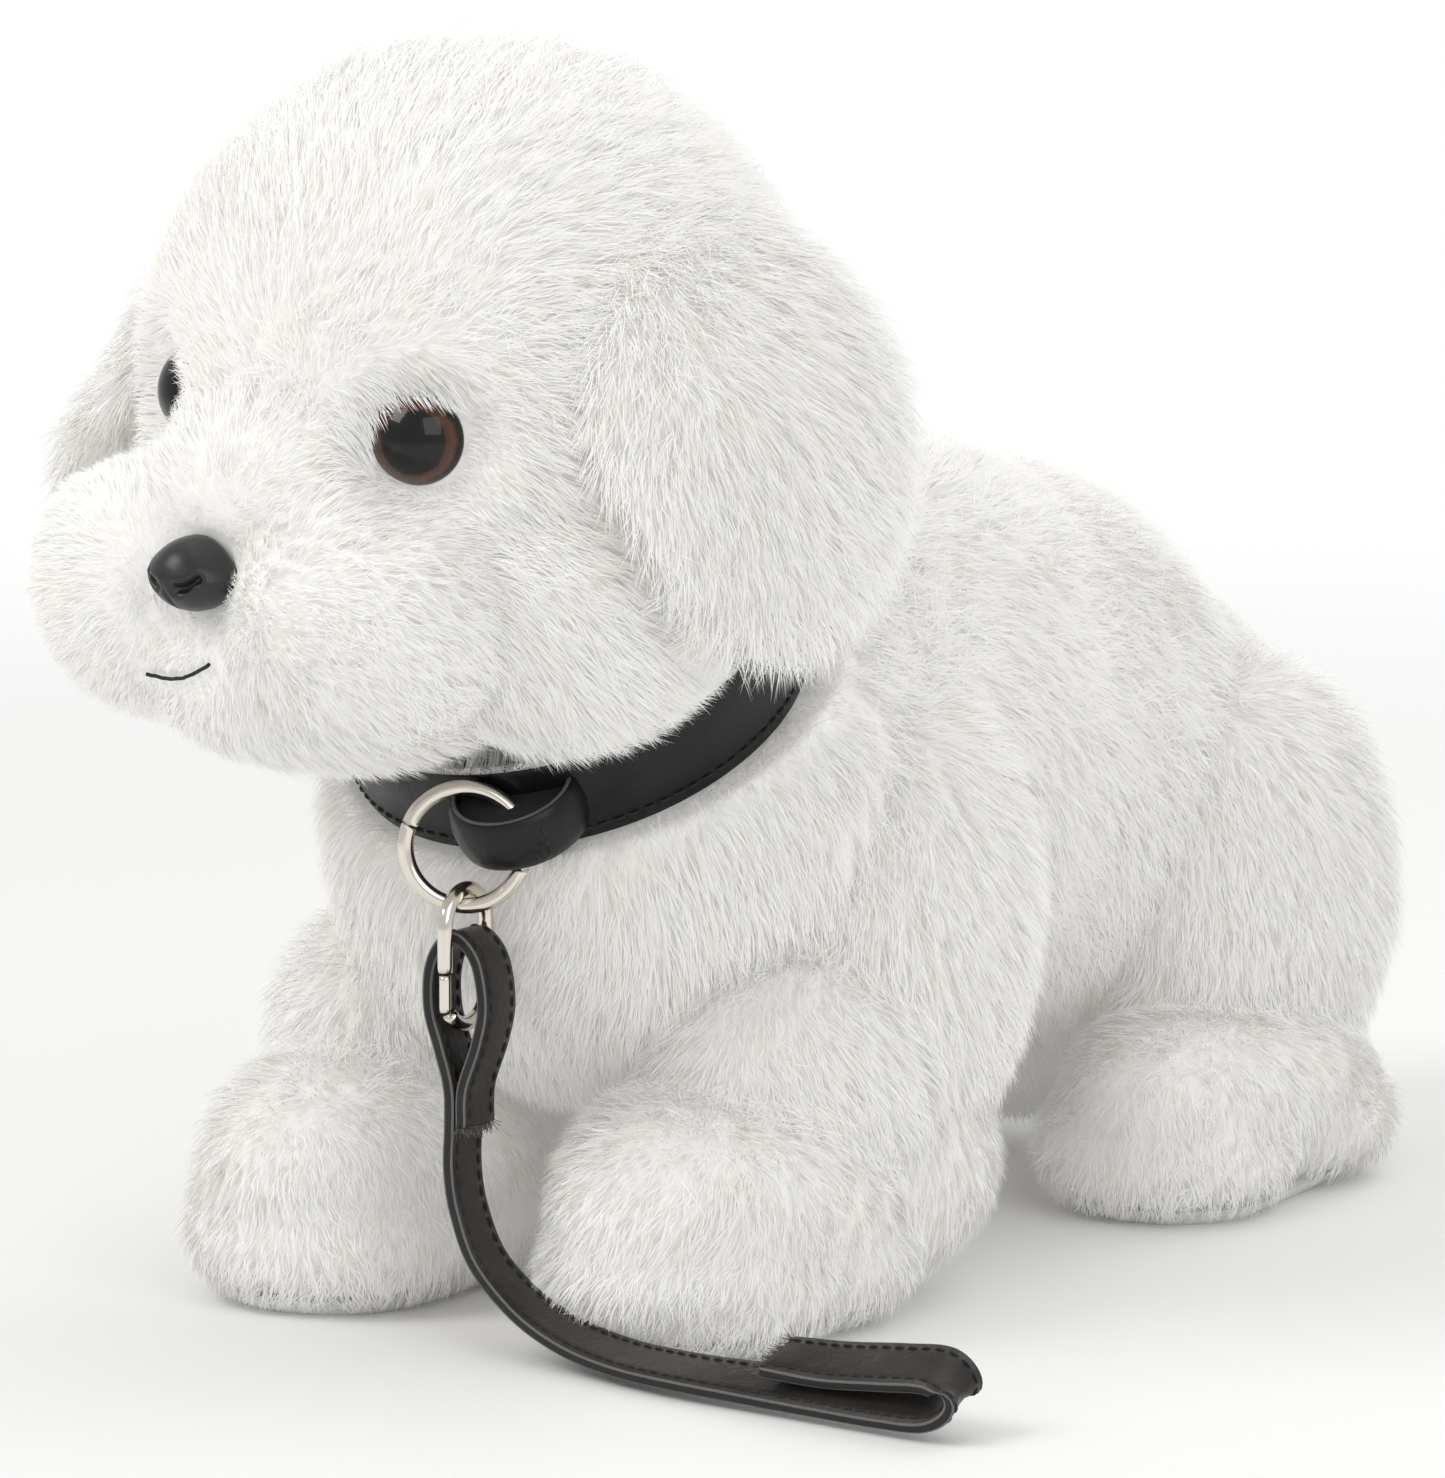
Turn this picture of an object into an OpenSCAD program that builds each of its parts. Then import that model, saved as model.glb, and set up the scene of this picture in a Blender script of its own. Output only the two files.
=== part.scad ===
// Sitting plush puppy with a leather-look collar, a snap clasp and a short leash.
// Units are millimetres. The puppy faces -Y, its left side is +X and up is +Z.
// The origin is on the ground, under the middle of the toy without its leash.

/* [Body] */
// Radius of the stuffed torso
torso_r = 59; // [50:1:66]
// Length of the torso between the centres of its two rounded ends
torso_len = 159; // [130:1:180]
// Thickness of the pile cloth
cloth_t = 4; // [2:0.5:6]

/* [Head] */
// Radius of the skull
skull_r = 61; // [52:1:70]
// Radius of each puffy muzzle lobe
lobe_r = 26; // [20:1:32]
// Turn of the head towards the puppy's right, in degrees
head_turn = 9; // [0:1:25]
// Tilt of the head towards the puppy's left shoulder, in degrees
head_tilt = 5; // [0:1:15]

/* [Ears] */
// Half the width of an ear
ear_half_w = 38; // [30:1:45]
// Half the height of an ear
ear_half_h = 41; // [32:1:48]

/* [Face parts] */
// Radius of each safety eye
eye_r = 8.5; // [6:0.5:11]
// Height of an eye's dome above its rim
eye_dome = 5.5; // [4:0.5:8]
// Radius of the moulded nose
nose_r = 9; // [7:0.5:12]

/* [Legs] */
// Radius of each front leg
front_leg_r = 29; // [24:1:33]
// Radius of each front paw
front_paw_r = 29; // [24:1:33]
// Radius of each rear paw
rear_paw_r = 26; // [22:1:30]
// Radius of each thigh, seen from the side
thigh_r = 43; // [36:1:48]

/* [Collar] */
// Outside radius of the collar
collar_r = 44.4; // [40:0.2:48]
// Width of the collar strap
collar_w = 20; // [14:1:22]
// Thickness of the straps
strap_t = 2; // [1.4:0.2:2.6]

/* [Ring and clasp] */
// Outside diameter of the collar ring
ring_d = 25; // [22:0.5:28]
// Diameter of the ring's wire
ring_wire = 3; // [2:0.2:3.4]
// Height of the clasp
clasp_h = 28; // [25:1:32]
// Width of the clasp
clasp_w = 16.4; // [15:0.2:18]
// Diameter of the clasp's wire
clasp_wire = 2.8; // [2:0.2:3.2]

/* [Leash] */
// Width of the leash strap
leash_w = 10; // [8:1:14]

/* [Hidden] */
$fn = 64;
seam = 0.4;            // gap between pieces sewn side by side
far = 200;             // longer than any part of the toy
sides = [1, -1];       // the left and the right of the puppy
shift = [0, -10.6, 0]; // moves the toy so that the origin lies under its middle

cloth = [0.96, 0.96, 0.95];
cloth_shade = [0.90, 0.89, 0.87];
filling = [0.93, 0.92, 0.88];
black = [0.08, 0.08, 0.09];
brown = [0.24, 0.11, 0.07];
nickel = [0.78, 0.75, 0.70];

// Torso: a capsule from the chest to the rump, with a ball for the high withers
chest_at = [0, -42, 91];
withers_at = [0, 36, 102];
withers_r = 60;
torso_slope = -5.5;
belly_w = 56;
belly_top = 52;

// Head: skull, cheeks, muzzle lobes, nose bridge and chin are balls in the head's own frame
head_at = [-4, -88, 177];
head_nod = 3;
cheek_at = [34, -12, -30];
cheek_r = 31;
lobe_at = [24, -58, -30];
bridge_at = [0, -46, -14];
bridge_r = 26;
chin_at = [0, -32, -40];
chin_r = 31;
gusset_w = 40;
bridge_w = 26;
muzzle_back = -34;
muzzle_floor = -52;
gusset_floor = -20;
packing_top = -13.5;

// Eyes and nose are moulded with a shank that a washer holds from the inside
eye_yaw = 31.3;
eye_seat = 54;
cup_r = 12.5;
shank_r = 2.2;
shank_len = 13;
washer_t = 1.6;
eye_washer_r = 8;
eye_washer_gap = 8;
nose_shank_len = 20;
nose_washer_r = 5.5;
nose_washer_gap = 17;
nose_at = [0, -73, -26];
nose_dome = 9;
nostril_r = 1.7;
nostril_at = [3.6, -3.4, 5];
pocket_h = 40;         // taller than any dome that sits in a pocket
thread_r = 0.7;
mouth_start = [-0.85, -0.40, -0.34];
mouth_end = [-0.35, -0.62, -0.70];
mouth_drop_at = [0, -70, -39.6];
mouth_drop = 4;

// Ears: two curved cloth faces on each side
ear_at = [69.5, 6, 4];
ear_curve = 118;
ear_lean = 12;
ear_t = 3;

// Collar frame: the strap's middle, tilted so that it is low at the throat
collar_at = [0, -64, 122];
collar_slope = 30;
neck_r = collar_r - strap_t - 0.6;
neck_half = collar_w / 2 + 0.6;
neck_gap = neck_half + 0.3;

// Keeper: a folded strap that stands out from the collar around the ring
keeper_turn = 17;
keeper_r = 12;
keeper_reach = 56.5;
keeper_low = -6;
keeper_h = 10;

ring_at = [6.5, -108.5, 93.5];
ring_turn = 28;
ring_mid = (ring_d - ring_wire) / 2;
clasp_hang = 0.3;
gate_top = 71;
gate_foot = 63;
gate_gap = 0.6;
gate_slim = 0.3;       // how much thinner the gate is than the wire, in radius

// Legs
leg_x = 42;
leg_top = [0, -15, 90];
leg_foot = [0, -33, 42];
paw_x = 40;
paw_front = -84;
paw_back = -54;
paw_z = 22;
sole_t = 3;
thigh_at = [44, 116, 58];
thigh_half_t = 24;
rear_x = 53;
rear_y = 96;
rear_reach = 22;
rear_z = 20;
rear_turn = 5;
tail_top = [0, 166, 98];
tail_tip = [0, 182, 72];
tail_r = 12;

// Leash route from the free end, over the clasp and down to the hand loop.
// Each point is x, y, z and the lean of the strap's width above level, in degrees.
leash_route = [
    [8.4, -108.5, 42, 0],
    [8.7, -108.5, 49, 0],
    [11.6, -108.5, 57, 0],
    [12.9, -108.5, 64, 0],
    [12.3, -108.5, 71, 0],
    [10.4, -108.5, 75, 0],
    [7, -108.5, 77.2, 0],
    [3.4, -108.5, 75, 0],
    [1.4, -108.5, 70, 0],
    [1.4, -108.5, 63, 0],
    [3.4, -108.5, 56, 0],
    [5.6, -108.5, 49, 0],
    [5.8, -108.5, 42, 0],
    [5.6, -108.6, 34, 0],
    [7.2, -109, 26, 0],
    [12.4, -110.4, 17, 4],
    [22, -112, 9.8, 8],
    [34, -115, 5.8, 12],
    [48, -119, 4.2, 14],
    [64, -123, 4, 16],
    [80, -125, 4, 20],
    [95, -127, 4.2, 26],
    [110, -129, 4.4, 28],
    [120, -130, 5, 28],
    [124, -129.6, 8, 28],
    [120, -129, 11.2, 28],
    [110, -128, 10.6, 28],
    [97, -126, 9.4, 26],
    [84, -124.2, 9, 20],
];
steps_per_point = 2;
joint_stitch_at = [7.2, -108.5, 46];
hand_stitch_at = [90, -125.8, 6.7];
stitch_len = 5;

// ---- Frames and helpers ----

module placed() {
    translate(shift) children();
}

module in_head() {
    placed() translate(head_at) rotate([0, 0, -head_turn]) rotate([head_nod, 0, 0])
        rotate([0, head_tilt, 0]) children();
}

module in_collar() {
    placed() translate(collar_at) rotate([collar_slope, 0, 0]) children();
}

// A position on one side of a symmetry plane
function on_side(p, side) = [side * p[0], p[1], p[2]];

// A capsule between two points that share the same x
module capsule(a, b, r) {
    run = b - a;
    slope = atan2(run[2], run[1]);
    translate(a) rotate([slope - 90, 0, 0]) {
        sphere(r);
        cylinder(h = norm(run), r = r);
        translate([0, 0, norm(run)]) sphere(r);
    }
}

// Everything above or below the strap of the collar
module above_collar() {
    in_collar() translate([-far, -far, neck_gap]) cube([2 * far, 2 * far, 2 * far]);
}

module below_collar() {
    in_collar() translate([-far, -far, -neck_gap - 2 * far]) cube([2 * far, 2 * far, 2 * far]);
}

// ---- Head ----

module cheeks(grow) {
    for (s = sides) translate(on_side(cheek_at, s)) sphere(cheek_r + grow);
}

module chin_ball(grow) {
    translate(chin_at) sphere(chin_r + grow);
}

module skull_and_cheek(grow) {
    sphere(skull_r + grow);
    translate(on_side(cheek_at, -1)) sphere(cheek_r + grow);
}

module muzzle_form(grow) {
    for (s = sides) translate(on_side(lobe_at, s)) sphere(lobe_r + grow);
    translate(bridge_at) sphere(bridge_r + grow);
}

module head_form(grow) {
    core_form(grow);
    muzzle_form(grow);
}

// The frame of an eye: its +Z points out of the face
module eye_frame(side) {
    rotate([0, 0, side * eye_yaw]) translate([0, -eye_seat, 0]) rotate([90, 0, 0]) children();
}

module nose_frame() {
    translate(nose_at) rotate([90, 0, 0]) children();
}

// The cloth is drawn in around each eye and behind the nose
module eye_cup(side, depth) {
    eye_frame(side) translate([0, 0, -depth]) cylinder(h = depth, r = cup_r);
}

module nose_cup(depth) {
    nose_frame() translate([0, 0, -depth]) cylinder(h = depth, r = cup_r);
}

// The room in the stuffing around an eye, its shank and its washer
module eye_well(side) {
    eye_frame(side) translate([0, 0, -shank_len - 2]) cylinder(h = pocket_h, r = cup_r + seam);
}

module shank_hole() {
    translate([0, 0, -pocket_h]) cylinder(h = pocket_h + 1, r = shank_r + 0.2);
}

module face_pockets() {
    for (s = sides) eye_frame(s) {
        cylinder(h = pocket_h, r = eye_r + seam);
        shank_hole();
    }
    nose_frame() {
        cylinder(h = pocket_h, r = nose_r + seam);
        shank_hole();
    }
}

module head_shell() {
    difference() {
        union() {
            difference() {
                head_form(0);
                head_form(-cloth_t);
            }
            for (s = sides) eye_cup(s, cloth_t);
            nose_cup(cloth_t);
        }
        face_pockets();
    }
}

// Blocks that say which stretch of the head each panel covers
module gusset_block() {
    translate([-gusset_w / 2, muzzle_back, gusset_floor]) cube([gusset_w, 2 * far, far]);
}

module bridge_block() {
    translate([-bridge_w / 2, muzzle_back - far, gusset_floor]) cube([bridge_w, far, far]);
}

module muzzle_block() {
    translate([-far, muzzle_back - far, muzzle_floor]) cube([2 * far, far, 2 * far]);
}

module side_block(low, high) {
    translate([-far, muzzle_back, low]) cube([2 * far, 2 * far, high - low]);
}

module chin_block() {
    translate([-far, muzzle_back + 20 - far, muzzle_floor - far]) cube([2 * far, far, far]);
}

// The puppy's right half; the left is its mirror image in the head's or the body's frame
module right_half() {
    translate([-far - seam / 2, -far, -far]) cube([far, 2 * far, 2 * far]);
}

module on_side_of(side) {
    mirror([side > 0 ? 1 : 0, 0, 0]) children();
}

module head_panel(side = -1) {
    color(cloth) intersection() {
        in_head() on_side_of(side) intersection() {
            head_shell();
            children();
        }
        above_collar();
    }
}

// The side of the head in two panels: the side below the crown, and the cheek under it
module head_side(side) {
    color(cloth) in_head() on_side_of(side) difference() {
        intersection() {
            skull_and_cheek(0);
            right_half();
            side_block(gusset_floor, far);
        }
        skull_and_cheek(-cloth_t);
        gusset_block();
    }
}

module cheek_panel(side) {
    color(cloth) intersection() {
        in_head() on_side_of(side) difference() {
            intersection() {
                union() {
                    skull_and_cheek(0);
                    chin_ball(0);
                }
                right_half();
                side_block(-far, gusset_floor);
            }
            skull_and_cheek(-cloth_t);
            chin_ball(-cloth_t);
            chin_block();
        }
        above_collar();
    }
}

module muzzle_panel(side) {
    head_panel(side) difference() {
        intersection() {
            muzzle_block();
            right_half();
        }
        bridge_block();
    }
}

module head_side_left() { head_side(1); }
module head_side_right() { head_side(-1); }
module cheek_left() { cheek_panel(1); }
module cheek_right() { cheek_panel(-1); }
module head_gusset() { head_panel() gusset_block(); }
module muzzle_left() { muzzle_panel(1); }
module muzzle_right() { muzzle_panel(-1); }
module nose_bridge() { head_panel() bridge_block(); }
module chin_panel() { head_panel() chin_block(); }

module core_form(grow) {
    sphere(skull_r + grow);
    chin_ball(grow);
    cheeks(grow);
}

// The muzzle is packed apart from the head, from this level down
module packing_block() {
    translate([-far, muzzle_back - far, packing_top - far]) cube([2 * far, far, far]);
}

module head_stuffing() {
    color(filling) intersection() {
        in_head() difference() {
            core_form(-cloth_t - seam);
            for (s = sides) eye_well(s);
            packing_block();
        }
        above_collar();
    }
}

module muzzle_stuffing() {
    color(filling) in_head() for (s = sides) on_side_of(s) intersection() {
        translate(on_side(lobe_at, -1)) sphere(lobe_r - cloth_t - seam);
        translate([-cup_r - seam, -seam, -seam]) packing_block();
        translate([-cup_r - seam - far, -far, -far]) cube([far, 2 * far, 2 * far]);
    }
}

// A dome with a flat back and a given rim radius and height
module dome(rim, height) {
    ball = (rim * rim + height * height) / (2 * height);
    intersection() {
        translate([0, 0, height - ball]) sphere(ball);
        cylinder(h = height + 1, r = rim);
    }
}

module eye(side) {
    color(brown) in_head() eye_frame(side) {
        dome(eye_r, eye_dome);
        translate([0, 0, -shank_len]) cylinder(h = shank_len + 0.5, r = shank_r);
    }
}

module washer(rim, gap) {
    color(cloth_shade) translate([0, 0, -gap]) difference() {
        cylinder(h = washer_t, r = rim);
        translate([0, 0, -1]) cylinder(h = washer_t + 2, r = shank_r + 0.05);
    }
}

module eye_left() { eye(1); }
module eye_right() { eye(-1); }
module eye_washer_left() { in_head() eye_frame(1) washer(eye_washer_r, eye_washer_gap); }
module eye_washer_right() { in_head() eye_frame(-1) washer(eye_washer_r, eye_washer_gap); }

module nose() {
    color(black) in_head() nose_frame() {
        difference() {
            dome(nose_r, nose_dome);
            for (s = sides) translate(on_side(nostril_at, s)) cylinder(h = nose_dome, r = nostril_r);
        }
        translate([0, 0, -nose_shank_len]) cylinder(h = nose_shank_len + 0.5, r = shank_r);
    }
}

module nose_washer() { in_head() nose_frame() washer(nose_washer_r, nose_washer_gap); }

// One thread arc over a muzzle lobe, from below the nose outwards
module mouth_arc(side) {
    start = on_side(unit(mouth_start), side);
    end = on_side(unit(mouth_end), side);
    normal = unit(cross(start, end));
    third = cross(normal, start);
    translate(on_side(lobe_at, side))
        multmatrix([for (i = [0:2]) [start[i], third[i], normal[i], 0]])
        rotate_extrude(angle = acos(start * end))
        translate([lobe_r + thread_r + 0.3, 0]) circle(thread_r, $fn = 24);
}

module mouth_stitch() {
    color(black) in_head() {
        for (s = sides) mouth_arc(s);
        translate(mouth_drop_at) cylinder(h = mouth_drop, r = thread_r, $fn = 24);
    }
}

// ---- Ears ----

module ear_outline() {
    polygon([for (a = [0:10:350])
        [ear_half_w * cos(a) * (1 - 0.12 * sin(a)), ear_half_h * sin(a)]]);
}

module ear_face(side, r) {
    color(cloth) in_head() mirror([side > 0 ? 0 : 1, 0, 0]) translate(ear_at)
        rotate([0, -ear_lean, 0]) intersection() {
            translate([-ear_curve, 0, 0]) difference() {
                sphere(r + ear_t, $fn = 128);
                sphere(r, $fn = 128);
            }
            rotate([90, 0, 90]) translate([0, 0, -30]) linear_extrude(60) ear_outline();
        }
}

module ear_outer_left() { ear_face(1, ear_curve); }
module ear_inner_left() { ear_face(1, ear_curve - ear_t - seam); }
module ear_outer_right() { ear_face(-1, ear_curve); }
module ear_inner_right() { ear_face(-1, ear_curve - ear_t - seam); }

// ---- Body ----

module torso_form(grow) {
    rump = [0, chest_at[1] + torso_len * cos(torso_slope), chest_at[2] + torso_len * sin(torso_slope)];
    placed() {
        capsule(chest_at, rump, torso_r + grow);
        translate(withers_at) sphere(withers_r + grow);
    }
}

module torso_shell() {
    intersection() {
        difference() {
            torso_form(0);
            torso_form(-cloth_t);
        }
        below_collar();
    }
}

module belly_block() {
    translate([-belly_w / 2, -far, 0]) cube([belly_w, 2 * far, belly_top]);
}

module body_side(side) {
    color(cloth) on_side_of(side) difference() {
        intersection() {
            torso_shell();
            right_half();
        }
        belly_block();
    }
}

module body_side_left() { body_side(1); }
module body_side_right() { body_side(-1); }

module belly_panel() {
    color(cloth) intersection() {
        torso_shell();
        belly_block();
    }
}

module neck_sleeve() {
    color(cloth) in_collar() translate([0, 0, -neck_half]) difference() {
        cylinder(h = 2 * neck_half, r = neck_r);
        translate([0, 0, -1]) cylinder(h = 2 * neck_half + 2, r = neck_r - cloth_t);
    }
}

module body_stuffing() {
    color(filling) {
        intersection() {
            torso_form(-cloth_t - seam);
            below_collar();
        }
        in_collar() translate([0, 0, -neck_gap - 1])
            cylinder(h = neck_half + neck_gap + 1, r = neck_r - cloth_t - seam);
    }
}

module tail() {
    color(cloth) difference() {
        placed() capsule(tail_top, tail_tip, tail_r);
        torso_form(seam);
    }
}

// ---- Legs ----

module front_form(side, grow) {
    placed() {
        capsule(on_side(leg_foot + [leg_x, 0, 0], side), on_side(leg_top + [leg_x, 0, 0], side),
            front_leg_r + grow);
        front_paw(side, grow);
    }
}

module front_paw(side, grow) {
    capsule([side * paw_x, paw_front, paw_z], [side * paw_x, paw_back, paw_z], front_paw_r + grow);
}

module rear_paw(side, grow) {
    translate([side * rear_x, rear_y, rear_z]) rotate([0, 0, side * rear_turn])
        capsule([0, -rear_reach, 0], [0, rear_reach, 0], rear_paw_r + grow);
}

module rear_form(side, grow) {
    placed() {
        translate(on_side(thigh_at, side)) rotate([0, 90, 0]) rotate_extrude()
            intersection() {
                union() {
                    translate([thigh_r - thigh_half_t, 0]) circle(thigh_half_t + grow);
                    translate([0, -thigh_half_t - grow])
                        square([thigh_r - thigh_half_t, 2 * (thigh_half_t + grow)]);
                }
                translate([0, -far]) square([far, 2 * far]);
            }
        rear_paw(side, grow);
    }
}

// Levels that part the sole from the skin above it
module above(z) {
    translate([-far, -far, z]) cube([2 * far, 2 * far, 2 * far]);
}

module slab(low, high) {
    translate([-far, -far, low]) cube([2 * far, 2 * far, high - low]);
}

module front_skin(side) {
    color(cloth) difference() {
        intersection() {
            difference() {
                front_form(side, 0);
                front_form(side, -cloth_t);
            }
            above(sole_t + seam);
        }
        torso_form(seam);
    }
}

module rear_skin(side) {
    color(cloth) difference() {
        intersection() {
            difference() {
                rear_form(side, 0);
                rear_form(side, -cloth_t);
            }
            above(sole_t + seam);
        }
        torso_form(seam);
    }
}

module front_fill(side) {
    color(filling) difference() {
        intersection() {
            front_form(side, -cloth_t - seam);
            above(sole_t + seam);
        }
        torso_form(seam);
    }
}

module rear_fill(side) {
    color(filling) difference() {
        intersection() {
            rear_form(side, -cloth_t - seam);
            above(sole_t + seam);
        }
        torso_form(seam);
    }
}

module front_sole(side) {
    color(cloth_shade) intersection() {
        placed() front_paw(side, 0);
        slab(0, sole_t);
    }
}

module rear_sole(side) {
    color(cloth_shade) intersection() {
        placed() rear_paw(side, 0);
        slab(0, sole_t);
    }
}

module front_leg_left() { front_skin(1); }
module front_leg_right() { front_skin(-1); }
module front_sole_left() { front_sole(1); }
module front_sole_right() { front_sole(-1); }
module front_stuffing_left() { front_fill(1); }
module front_stuffing_right() { front_fill(-1); }
module rear_leg_left() { rear_skin(1); }
module rear_leg_right() { rear_skin(-1); }
module rear_sole_left() { rear_sole(1); }
module rear_sole_right() { rear_sole(-1); }
module rear_stuffing_left() { rear_fill(1); }
module rear_stuffing_right() { rear_fill(-1); }

// ---- Collar, ring and clasp ----

module collar_strap() {
    color(black) in_collar() translate([0, 0, -collar_w / 2]) difference() {
        cylinder(h = collar_w, r = collar_r, $fn = 128);
        translate([0, 0, -1]) cylinder(h = collar_w + 2, r = collar_r - strap_t, $fn = 128);
    }
}

module collar_keeper() {
    color(black) in_collar() difference() {
        rotate([0, 0, keeper_turn]) translate([0, -keeper_reach + keeper_r, keeper_low])
            difference() {
                cylinder(h = keeper_h, r = keeper_r);
                translate([0, 0, -1]) cylinder(h = keeper_h + 2, r = keeper_r - strap_t + 0.4);
            }
        translate([0, 0, -far]) cylinder(h = 2 * far, r = collar_r + 0.05, $fn = 128);
    }
}

module collar_ring() {
    color(nickel) placed() translate(ring_at) rotate([0, 0, ring_turn]) rotate([90, 0, 0])
        rotate_extrude() translate([ring_mid, 0]) circle(ring_wire / 2, $fn = 32);
}

// The clasp is an upright oval link; its front bar has a sprung gate
clasp_mid = (clasp_w - clasp_wire) / 2;
clasp_straight = clasp_h - clasp_w;
clasp_top = ring_at[2] - ring_mid + ring_wire / 2 + clasp_hang;
clasp_centre = [ring_at[0], ring_at[1], clasp_top - clasp_h / 2 + clasp_wire];

module clasp_bar(low, high, r) {
    translate([0, -clasp_mid, low]) cylinder(h = high - low, r = r, $fn = 32);
}

module clasp_arch(top) {
    translate([0, 0, top * clasp_straight / 2]) rotate([0, 90, 0]) rotate([0, 0, top > 0 ? 90 : -90])
        rotate_extrude(angle = 180) translate([clasp_mid, 0]) circle(clasp_wire / 2, $fn = 32);
}

module clasp_body() {
    color(nickel) placed() difference() {
        translate(clasp_centre) {
            clasp_arch(1);
            clasp_arch(-1);
            translate([0, clasp_mid, -clasp_straight / 2])
                cylinder(h = clasp_straight, r = clasp_wire / 2, $fn = 32);
            clasp_bar(-clasp_straight / 2, clasp_straight / 2, clasp_wire / 2);
        }
        translate([clasp_centre[0], clasp_centre[1] - clasp_mid, gate_foot])
            cylinder(h = gate_top - gate_foot, r = 1.5 * clasp_wire);
    }
}

module clasp_gate() {
    color(nickel) placed() translate([clasp_centre[0], clasp_centre[1] - clasp_mid, gate_foot + gate_gap])
        cylinder(h = gate_top - gate_foot - 2 * gate_gap, r = clasp_wire / 2 - gate_slim, $fn = 32);
}

// ---- Leash: one flat strap swept along its route ----

// Catmull-Rom value between b and c
function curve(a, b, c, d, t) =
    ((2 * b) + (c - a) * t + (2 * a - 5 * b + 4 * c - d) * t * t
        + (3 * b - a - 3 * c + d) * t * t * t) / 2;

function route_point(i) = leash_route[max(0, min(len(leash_route) - 1, i))];

leash_rings = (len(leash_route) - 1) * steps_per_point + 1;

function leash_at(k) =
    let (i = min(floor(k / steps_per_point), len(leash_route) - 2), t = k / steps_per_point - i)
    curve(route_point(i - 1), route_point(i), route_point(i + 1), route_point(i + 2), t);

function xyz(p) = [p[0], p[1], p[2]];
function unit(v) = v / norm(v);

// Width of the strap: level and along +Y where the lean is 0
function strap_across(k) =
    let (
        along = unit(xyz(leash_at(min(k + 1, leash_rings - 1))) - xyz(leash_at(max(k - 1, 0)))),
        lean = leash_at(k)[3],
        wish = [0, cos(lean), sin(lean)]
    )
    unit(wish - along * (wish * along));

function strap_up(k) =
    unit(cross(
        xyz(leash_at(min(k + 1, leash_rings - 1))) - xyz(leash_at(max(k - 1, 0))),
        strap_across(k)));

function strap_ring(k) =
    let (c = xyz(leash_at(k)), w = strap_across(k) * leash_w / 2, u = strap_up(k) * (strap_t / 2 - 0.1))
    [c - w - u, c + w - u, c + w + u, c - w + u];

module leash_strap() {
    last = 4 * (leash_rings - 1);
    color(black) placed() polyhedron(
        points = [for (k = [0:leash_rings - 1]) for (p = strap_ring(k)) p],
        faces = concat(
            [[0, 1, 2, 3]],
            [for (k = [0:leash_rings - 2]) for (j = [0:3]) for (h = [0, 1])
                let (a = 4 * k + j, b = 4 * k + (j + 1) % 4)
                h == 0 ? [a, a + 4, b] : [b, a + 4, b + 4]],
            [[last + 3, last + 2, last + 1, last]]
        ));
}

// Rows of thread that join two layers of the strap
module stitch_row(at, angles) {
    color(black) placed() for (y = [-4:2:4])
        translate(at) rotate(angles) translate([0, y, -stitch_len / 2])
            cylinder(h = stitch_len, r = 0.35, $fn = 16);
}

module leash_stitches() { stitch_row(joint_stitch_at, [0, 90, 0]); }
module hand_loop_stitches() { stitch_row(hand_stitch_at, [24, 0, 0]); }

head_side_left();
head_side_right();
cheek_left();
cheek_right();
head_gusset();
muzzle_left();
muzzle_right();
nose_bridge();
chin_panel();
head_stuffing();
muzzle_stuffing();
eye_left();
eye_right();
eye_washer_left();
eye_washer_right();
nose();
nose_washer();
mouth_stitch();
ear_outer_left();
ear_inner_left();
ear_outer_right();
ear_inner_right();
body_side_left();
body_side_right();
belly_panel();
neck_sleeve();
body_stuffing();
tail();
front_leg_left();
front_leg_right();
front_sole_left();
front_sole_right();
front_stuffing_left();
front_stuffing_right();
rear_leg_left();
rear_leg_right();
rear_sole_left();
rear_sole_right();
rear_stuffing_left();
rear_stuffing_right();
collar_strap();
collar_keeper();
collar_ring();
clasp_body();
clasp_gate();
leash_strap();
leash_stitches();
hand_loop_stitches();
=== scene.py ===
"""Plush puppy: its pile, face, collar, clasp and leash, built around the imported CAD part.

Lengths in tables are millimetres in the part's frame: the puppy faces -Y, its left side is +X and up is +Z.
"""

import math

import bmesh
import bpy
import numpy as np
from mathutils import Euler, Matrix, Vector
from mathutils.bvhtree import BVHTree


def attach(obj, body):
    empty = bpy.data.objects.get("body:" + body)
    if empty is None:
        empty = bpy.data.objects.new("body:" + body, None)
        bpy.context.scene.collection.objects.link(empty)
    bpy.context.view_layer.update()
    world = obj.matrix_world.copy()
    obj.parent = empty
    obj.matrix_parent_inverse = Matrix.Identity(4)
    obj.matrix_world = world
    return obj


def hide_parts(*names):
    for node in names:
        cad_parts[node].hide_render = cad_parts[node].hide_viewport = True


bl_info = {
    "name": "Plush puppy",
    "version": (1, 0, 0),
    "blender": (4, 5, 0),
    "location": "View3D > Sidebar > Puppy",
    "description": "Builds a plush puppy with a collar and a leash around its CAD part",
    "category": "Add Mesh",
}

MM = 0.001
SEED = 11

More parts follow.
